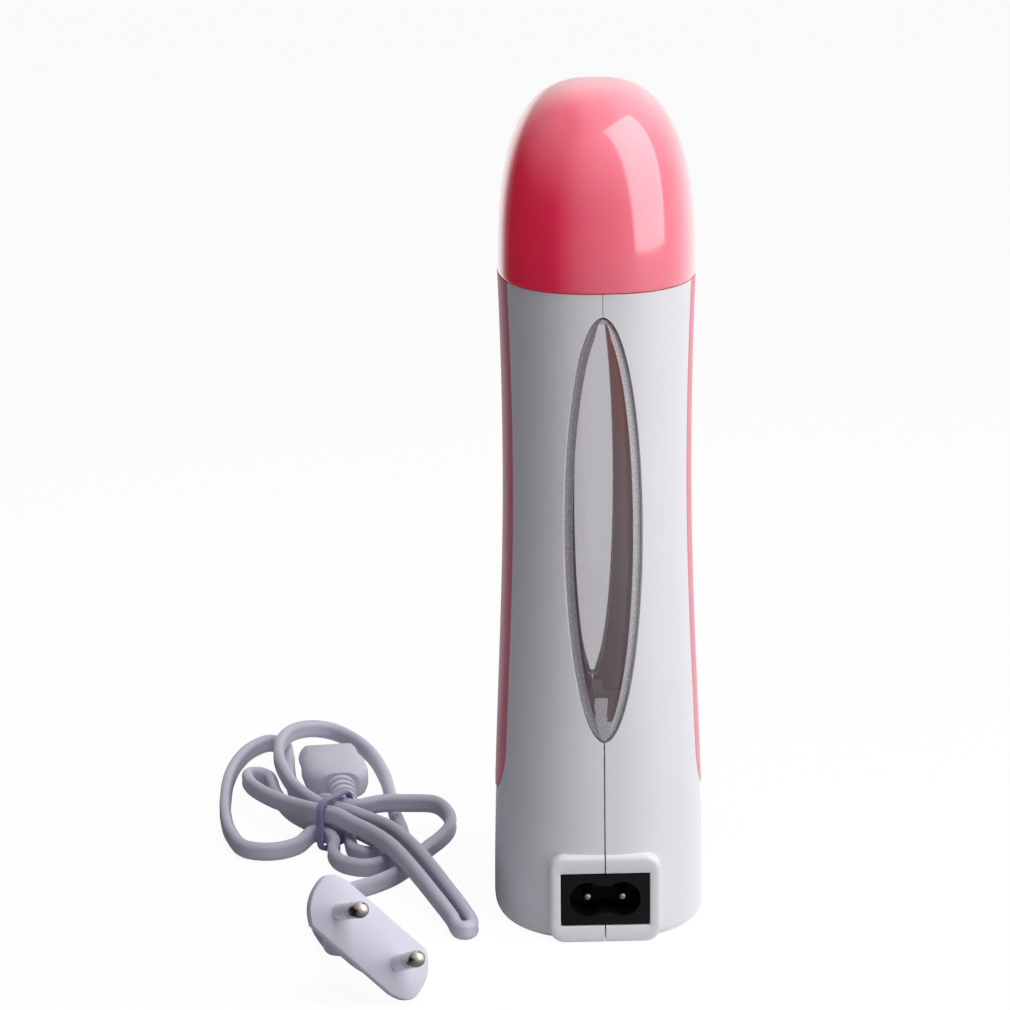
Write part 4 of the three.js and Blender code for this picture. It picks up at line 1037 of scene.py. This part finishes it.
def oval_breadth(z, breadth, margin=0.0):
    rise = (z - window_middle) / (window_half_height + margin)
    return (breadth + margin) * math.sqrt(max(0, 1 - rise * rise))


def grip_breadth(z, margin=0.0):
    below = max(0, grip_centre - z)
    return math.sqrt(max(0, (grip_half_breadth + margin) ** 2 - below ** 2))


# %% [markdown]
# ### Rows of the shell
# Rows are close together where an edge curves fast: at the foot's round, at the
# two tips of the window and round the grip's lower end. The seam is tighter
# above the front window, where the photograph barely shows it.

# %% Rows
tight_seam = 0.07
inlet_low, inlet_high, inlet_half_width, inlet_ramp_top = 4.4, 17.8, 10.9, 19.6
slot_bottom = grip_bottom - fit
columns, foot_rows = 30, 8
row_heights = sorted(set(
    evenly(foot_round, inlet_low, 3) + evenly(inlet_low, inlet_high, 10)
    + evenly(inlet_high, inlet_ramp_top, 3) + evenly(inlet_ramp_top, slot_bottom, 6)
    + eased(slot_bottom, grip_centre, 16) + evenly(grip_centre, window_bottom, 4)
    + eased(window_bottom, window_top, 56) + evenly(window_top, body_height, 4)
))


def front_start(z):
    """Where a row begins in front: at the seam, the inlet's opening or the window."""
    if z >= window_top:
        return tight_seam
    if window_bottom < z:
        return max(seam_gap / 2, oval_breadth(z, front_breadth))
    rise = (z - foot_round) / (inlet_low - foot_round)
    fall = (inlet_ramp_top - z) / (inlet_ramp_top - inlet_high)
    return max(seam_gap / 2, inlet_half_width * min(1, rise, fall))


def rear_start(z):
    if window_bottom < z < window_top:
        return max(seam_gap / 2, oval_breadth(z, rear_breadth))
    return seam_gap / 2


def quarter(z, towards, inset, start, stop):
    """Points of one row's quarter, from x = start at the seam side to y = stop at the grip."""
    width, depth = half_width(z) - inset, half_depth(z, towards) - inset
    first_angle = math.asin(min(1, (start / width) ** (section_power / 2)))
    last_angle = math.acos(min(1, (stop / depth) ** (section_power / 2)))
    row = []
    for angle in evenly(first_angle, last_angle, columns):
        x = width * math.sin(angle) ** (2 / section_power)
        y = towards * depth * max(0, math.cos(angle)) ** (2 / section_power)
        row.append(Vector((x, y, z)))
    return row


# %% Skin of half a shell
def half_shell_points():
    rows = []
    for i in range(foot_rows):
        angle = math.radians(90 * i / foot_rows)
        z = foot_round * (1 - math.cos(angle))
        pull = foot_round * (1 - math.sin(angle))
        front, behind = (quarter(z, towards, pull, seam_gap / 2, 0) for towards in (-1, 1))
        rows.append(front + behind[::-1])
    for z in row_heights:
        slot = grip_breadth(z, fit) if z > slot_bottom else 0
        front = quarter(z, -1, 0, front_start(z), slot)
        rows.append(front + quarter(z, 1, 0, rear_start(z), slot)[::-1])
    count = 2 * (columns + 1)
    faces = []
    for face in skin_faces(len(rows), count):
        top = max(rows[i // count][i % count].z for i in face)
        over_grip = {face[0] % count, face[1] % count} == {columns, columns + 1}
        if not (over_grip and top > slot_bottom):
            faces.append(face)
    faces.append(tuple(range(count)))
    return joined(rows), faces


# %% [markdown]
# ### Bezel
# The inlet sits in a raised frame. Its section is carried round half of a rounded
# rectangle: up the outer side, over a soft edge, across the flat face, over a
# small edge, and back into the opening.

# %% Bezel
bezel_width, bezel_top, bezel_round, bezel_edge = 27.5, 22.3, 4.0, 1.3
bezel_root, bezel_face, opening_back = -24, -32.0, -26.5
opening_width, opening_height, opening_lip, inlet_centre = 21.8, 13.4, 0.35, 11.1


def half_frame(width, height, radius, centre, steps=10):
    """Half of a rounded rectangle on the +X side, from the seam below to the seam above."""
    x, low, high = width / 2 - radius, centre - height / 2, centre + height / 2
    loop = [(place, low) for place in evenly(seam_gap / 2, x, 6)]
    loop += arc(x, low + radius, radius, -90, 0, steps)[1:]
    loop += [(x + radius, z) for z in evenly(low + radius, high - radius, 8)[1:]]
    loop += arc(x, high - radius, radius, 0, 90, steps)[1:]
    return loop + [(place, high) for place in evenly(x, seam_gap / 2, 6)[1:]]


def half_bezel_points():
    rows = []
    outer = [(bezel_root, 0), (bezel_face + bezel_edge, 0)]
    for angle in map(math.radians, (15, 30, 45, 60, 75, 90)):
        outer.append((bezel_face + bezel_edge * (1 - math.sin(angle)), bezel_edge * (1 - math.cos(angle))))
    for y, inset in outer:
        loop = half_frame(bezel_width - 2 * inset, bezel_top - 2 * inset, bezel_round - inset, bezel_top / 2)
        rows.append([Vector((x, y, z)) for x, z in loop])
    for y, margin in (
        (bezel_face, opening_lip), (bezel_face + opening_lip * 0.3, opening_lip * 0.3),
        (bezel_face + opening_lip, 0), (opening_back, 0),
    ):
        loop = half_frame(opening_width + 2 * margin, opening_height + 2 * margin, 0.3 + margin, inlet_centre)
        rows.append([Vector((x, y, z)) for x, z in loop])
    return joined(rows), skin_faces(len(rows), len(rows[0]))


# %% Both shells
def flipped(points, towards):
    return [Vector((towards * p.x, p.y, p.z)) for p in points]


def turned_out(piece, centre):
    """Faces of an open skin are all flipped if most of them look inwards."""
    mesh = piece.data
    outwards = sum(f.normal.dot(f.center - centre * MM) * f.area for f in mesh.polygons)
    if outwards < 0:
        mesh.flip_normals()


def walled(piece, thickness, soften):
    solid = piece.modifiers.new("wall", "SOLIDIFY")
    solid.thickness, solid.offset = thickness * MM, -1
    solid.use_even_offset = True
    edge = piece.modifiers.new("soft_edges", "BEVEL")
    edge.width, edge.segments, edge.limit_method = soften * MM, 3, "ANGLE"
    edge.angle_limit = math.radians(50)
    return plain(piece, 40)


body_centre = Vector((0, 0, 80))
for side, towards in SIDES:
    points, faces = half_shell_points()
    skin = make_piece(f"{side}_half_shell", flipped(points, towards), faces)
    turned_out(skin, body_centre)
    dress(walled(skin, wall, 0.35), white_abs, "shell_white", f"{side}_shell")
    points, faces = half_bezel_points()
    bezel = make_piece(f"{side}_bezel", flipped(points, towards), faces, sharp=40)
    turned_out(bezel, Vector((towards * 6, -29, inlet_centre)))
    dress(bezel, white_abs, "shell_white")

# %% [markdown]
# ## Grips
# The pink inlays lie in recesses on the broad sides, crowned a quarter of a
# millimetre, with rounded edges.

# %% Grips
def grip_points(towards, columns=24):
    rows = []
    for z in eased(grip_bottom + 0.02, grip_centre, 18) + evenly(grip_centre, body_height, 30)[1:]:
        breadth = max(0.3, grip_breadth(z))
        row = []
        for place in evenly(-1, 1, columns):
            raised = grip_crown * (1 - abs(place) ** 6)
            y = place * breadth
            row.append(Vector((towards * skin_x(y, z, -raised), y, z)))
        rows.append(row)
    return joined(rows), skin_faces(len(rows), columns + 1)


for side, towards in SIDES:
    inlay = make_piece(f"{side}_grip_inlay", *grip_points(towards))
    turned_out(inlay, body_centre)
    dress(walled(inlay, grip_thickness + grip_crown, 0.3), grip_abs, "grip_pink", f"{side}_grip")

# %% [markdown]
# ## Windows
# Each pane follows the body's skin a quarter of a millimetre below it, with a
# broad frosted bevel round its edge that catches the light as a pale rim. The
# front pane's foot is frosted too, with a small tab above it.

# %% Panes
front_bevel, rear_bevel, bevel_drop, window_sink, pane_back = 1.9, 1.1, 0.8, 0.25, 3.2
pane_gap = 0.45
foot_frost, tab_frost, tab_left, tab_right = 5.2, 11, -2.2, 0.7


def pane_points(breadth, bevel, towards):
    reach = window_half_height - pane_gap
    rows = []
    for z in eased(window_middle - reach, window_middle + reach, 72):
        half = max(0.05, oval_breadth(z, breadth, -pane_gap))
        flat = max(half * 0.5, half - bevel)
        places = evenly(-half, -flat, 3)[:-1] + evenly(-flat, flat, 16) + evenly(flat, half, 3)[1:]
        front = []
        for x in places:
            drop = bevel_drop * max(0, abs(x) - flat) / max(1e-6, half - flat)
            front.append(Vector((x, skin_y(x, z, window_sink + drop, towards), z)))
        behind = [Vector((x, skin_y(x, z, pane_back, towards), z)) for x in places[::-1]]
        rows.append(front + behind)
    return loft(rows)


def frosted(face, breadth, bevel, towards):
    """Whether a face of a pane is frosted: in the band round its outer side, or at the front pane's foot."""
    x, z = face.center.x / MM, face.center.z / MM
    outer = face.normal.y * towards > 0.2
    half = oval_breadth(z, breadth, -pane_gap)
    near_side = abs(x) > max(0.5 * half, half - bevel)
    near_tip = abs(z - window_middle) > window_half_height - bevel
    above_foot = z - window_bottom
    on_tab = above_foot < tab_frost and tab_left < x < tab_right
    at_foot = towards < 0 and (above_foot < foot_frost or on_tab)
    return outer and (near_side or near_tip or at_foot)


for name, breadth, bevel, towards, node in (
    ("front_pane", front_breadth, front_bevel, -1, "front_window"),
    ("rear_pane", rear_breadth, rear_bevel, 1, "rear_window"),
):
    pane = make_piece(name, *pane_points(breadth, bevel, towards), sharp=14)
    dress(pane, smoke_clear, "window_smoke", node)
    pane.data.materials.append(frosted_rim)
    for face in pane.data.polygons:
        face.material_index = int(frosted(face, breadth, bevel, towards))

# %% [markdown]
# ## Cap by Geometry Nodes
# The dome's shape follows a rule: the body's own squared oval, drawn in as it
# rises by a second, rounder power. A grid supplies two numbers for each point,
# how far round and how far up, and math nodes turn them into a place.

# %% Tree of the dome
dome_tree, given = named_tree(
    "squared_dome",
    ("Half Width", "Half Depth", "Front Setback", "Rise", "Bottom", "Section Power", "Dome Power"),
    {"Finish": "Material"},
)
tree = dome_tree
sheet = result(tree, "GeometryNodeMeshGrid", {
    "Size X": 1.0, "Size Y": 1.0, "Vertices X": 145, "Vertices Y": 49,
})
sheet_place = axes(tree, result(tree, "GeometryNodeInputPosition"))
turn = reckon(tree, "MULTIPLY", sheet_place["X"], 2 * math.pi)
climb = reckon(tree, "MULTIPLY", reckon(tree, "ADD", sheet_place["Y"], 0.5), math.pi / 2)
height = reckon(tree, "SINE", climb)
height_power = reckon(tree, "POWER", height, given["Dome Power"])
left_over = reckon(tree, "SUBTRACT", 1.0, height_power, use_clamp=True)
breadth_share = reckon(tree, "POWER", left_over, reckon(tree, "DIVIDE", 1.0, given["Dome Power"]))
section_root = reckon(tree, "DIVIDE", 2.0, given["Section Power"])
reached = {}
for axis, wave in (("x", "COSINE"), ("y", "SINE")):
    swing = reckon(tree, wave, turn)
    squared = reckon(tree, "POWER", reckon(tree, "ABSOLUTE", swing), section_root)
    shaped = reckon(tree, "MULTIPLY", squared, reckon(tree, "SIGN", swing))
    reached[axis] = reckon(tree, "MULTIPLY", shaped, breadth_share)
in_front = reckon(tree, "LESS_THAN", reached["y"], 0.0)
setback = reckon(tree, "MULTIPLY", in_front, given["Front Setback"])
dome_place = result(tree, "ShaderNodeCombineXYZ", {
    0: reckon(tree, "MULTIPLY", reached["x"], given["Half Width"]),
    1: reckon(tree, "MULTIPLY", reached["y"], reckon(tree, "SUBTRACT", given["Half Depth"], setback)),
    2: reckon(tree, "MULTIPLY_ADD", height, given["Rise"], given["Bottom"]),
})
domed_sheet = result(tree, "GeometryNodeSetPosition", {"Geometry": sheet, "Position": dome_place})
closed = result(tree, "GeometryNodeMergeByDistance", {"Geometry": domed_sheet, "Distance": 0.01 * MM})
close_tree(tree, closed, given["Finish"])

# %% Cap
cap_height, cap_wall, cap_overhang, dome_power = 45.99, 1.6, 0.25, 2.75
cap_bottom = body_height + fit
cap = grow("dome_cap", dome_tree, {
    "Half Width": (half_width(body_height) + cap_overhang) * MM,
    "Half Depth": (half_depth(body_height, 1) + cap_overhang) * MM,
    "Front Setback": front_setback * MM, "Rise": cap_height * MM, "Bottom": cap_bottom * MM,
    "Section Power": section_power, "Dome Power": dome_power, "Finish": pink_abs,
})
plain(cap)
turned_out(cap, Vector((0, 0, cap_bottom)))
dress(walled(cap, cap_wall, 0.3), pink_abs, "cap_pink", "cap", body="cap_body")

# %% [markdown]
# ## Collar
# Under the cap a pink collar joins the two halves at the mouth. A snap bead runs
# round its neck. It is one closed skin of rings: up the outside, over the lip and
# down the inside of the mouth.

# %% Collar
neck_height, neck_inset, neck_bead = 7.7, 2.3, 0.3
neck_bottom = body_height + fit
neck_top = neck_bottom + neck_height
collar_margin, mouth_inset_x, mouth_inset_y = 1.5, 6.6, 5.4
collar_bottom = window_top + collar_margin + fit
skirt_inset = wall + fit


def body_ring(z, at, inset_x, inset_y, steps=144):
    """A ring of the body's section as it is at one height, set at another."""
    ring = []
    for across, along in arc(0, 0, 1, 0, 360, steps)[:-1]:
        x = (half_width(at) - inset_x) * squarer(across, section_power)
        y = (half_depth(at, along) - inset_y) * squarer(along, section_power)
        ring.append(Vector((x, y, z)))
    return ring


skirt = (collar_bottom, body_height - 2, neck_bottom)
bead_shares = ((0.45, 0), (0.5, 0.8), (0.55, 1), (0.6, 0.8), (0.65, 0))
bead = [(neck_bottom + neck_height * share, neck_bead * out) for share, out in bead_shares]
neck = [(neck_bottom + 0.01, 0), *bead, (neck_top - 0.5, 0), (neck_top - 0.15, -0.12), (neck_top, -0.5)]
mouth = ((neck_top, 0.4), (neck_top - 0.1, 0.1), (neck_top - 0.4, 0), (collar_bottom, 0))
collar_rings = [
    *(body_ring(z, min(z, body_height), skirt_inset, skirt_inset) for z in skirt),
    *(body_ring(z, body_height, neck_inset - out, neck_inset - out) for z, out in neck),
    *(body_ring(z, body_height, mouth_inset_x - cut, mouth_inset_y - cut) for z, cut in mouth),
]
collar_faces = skin_faces(len(collar_rings), len(collar_rings[0]), loop=True, ring=True)
collar = make_piece("mouth_collar", joined(collar_rings), collar_faces)
dress(collar, grip_abs, "grip_pink", "chamber_collar")

# %% [markdown]
# ## Inlet pins
# The two pins of the inlet are turned nickel rods with domed ends, deep in the
# black socket. Their nickel is a darker copy: painted shade of the socket.

# %% Inlet pins
inlet_front, pin_radius, pin_length, pin_recess = bezel_face + 0.4, 1.2, 19.1, 1.4
for side, towards in SIDES:
    points, faces = turned([(pin_radius, 0), *domed(pin_radius, pin_length, (0, 20, 40, 60, 75, 86))], 32)
    pin_root = Vector((towards * pin_pitch / 2, inlet_front + pin_recess + pin_length, inlet_centre))
    place = seat(pin_root, Vector((0, -1, 0)), Vector((1, 0, 0)))
    rod = make_piece(f"inlet_rod_{side}", [place @ p for p in points], faces)
    dress(rod, socket_shaded_nickel, "nickel", f"inlet_pin_{side}")

# %% [markdown]
# ## Finishes of the CAD pieces
# Pieces whose solids are right as they are stay, and only get their material.

# %% CAD finishes
finishes = (
    (black_nylon, "inlet_body"),
    (floor_nylon, "chamber_floor"),
    (plate_metal, "left_heat_plate", "right_heat_plate"),
    (ceramic_case, "left_ptc_heater", "right_ptc_heater", "thermal_fuse"),
    (spring_steel, "left_heater_clip", "right_heater_clip", "case_screw_1", "case_screw_2"),
    (wire_silicone, "left_wire", "right_wire"),
)
for material, *nodes in finishes:
    for node in nodes:
        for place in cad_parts[node].material_slots:
            place.material = material
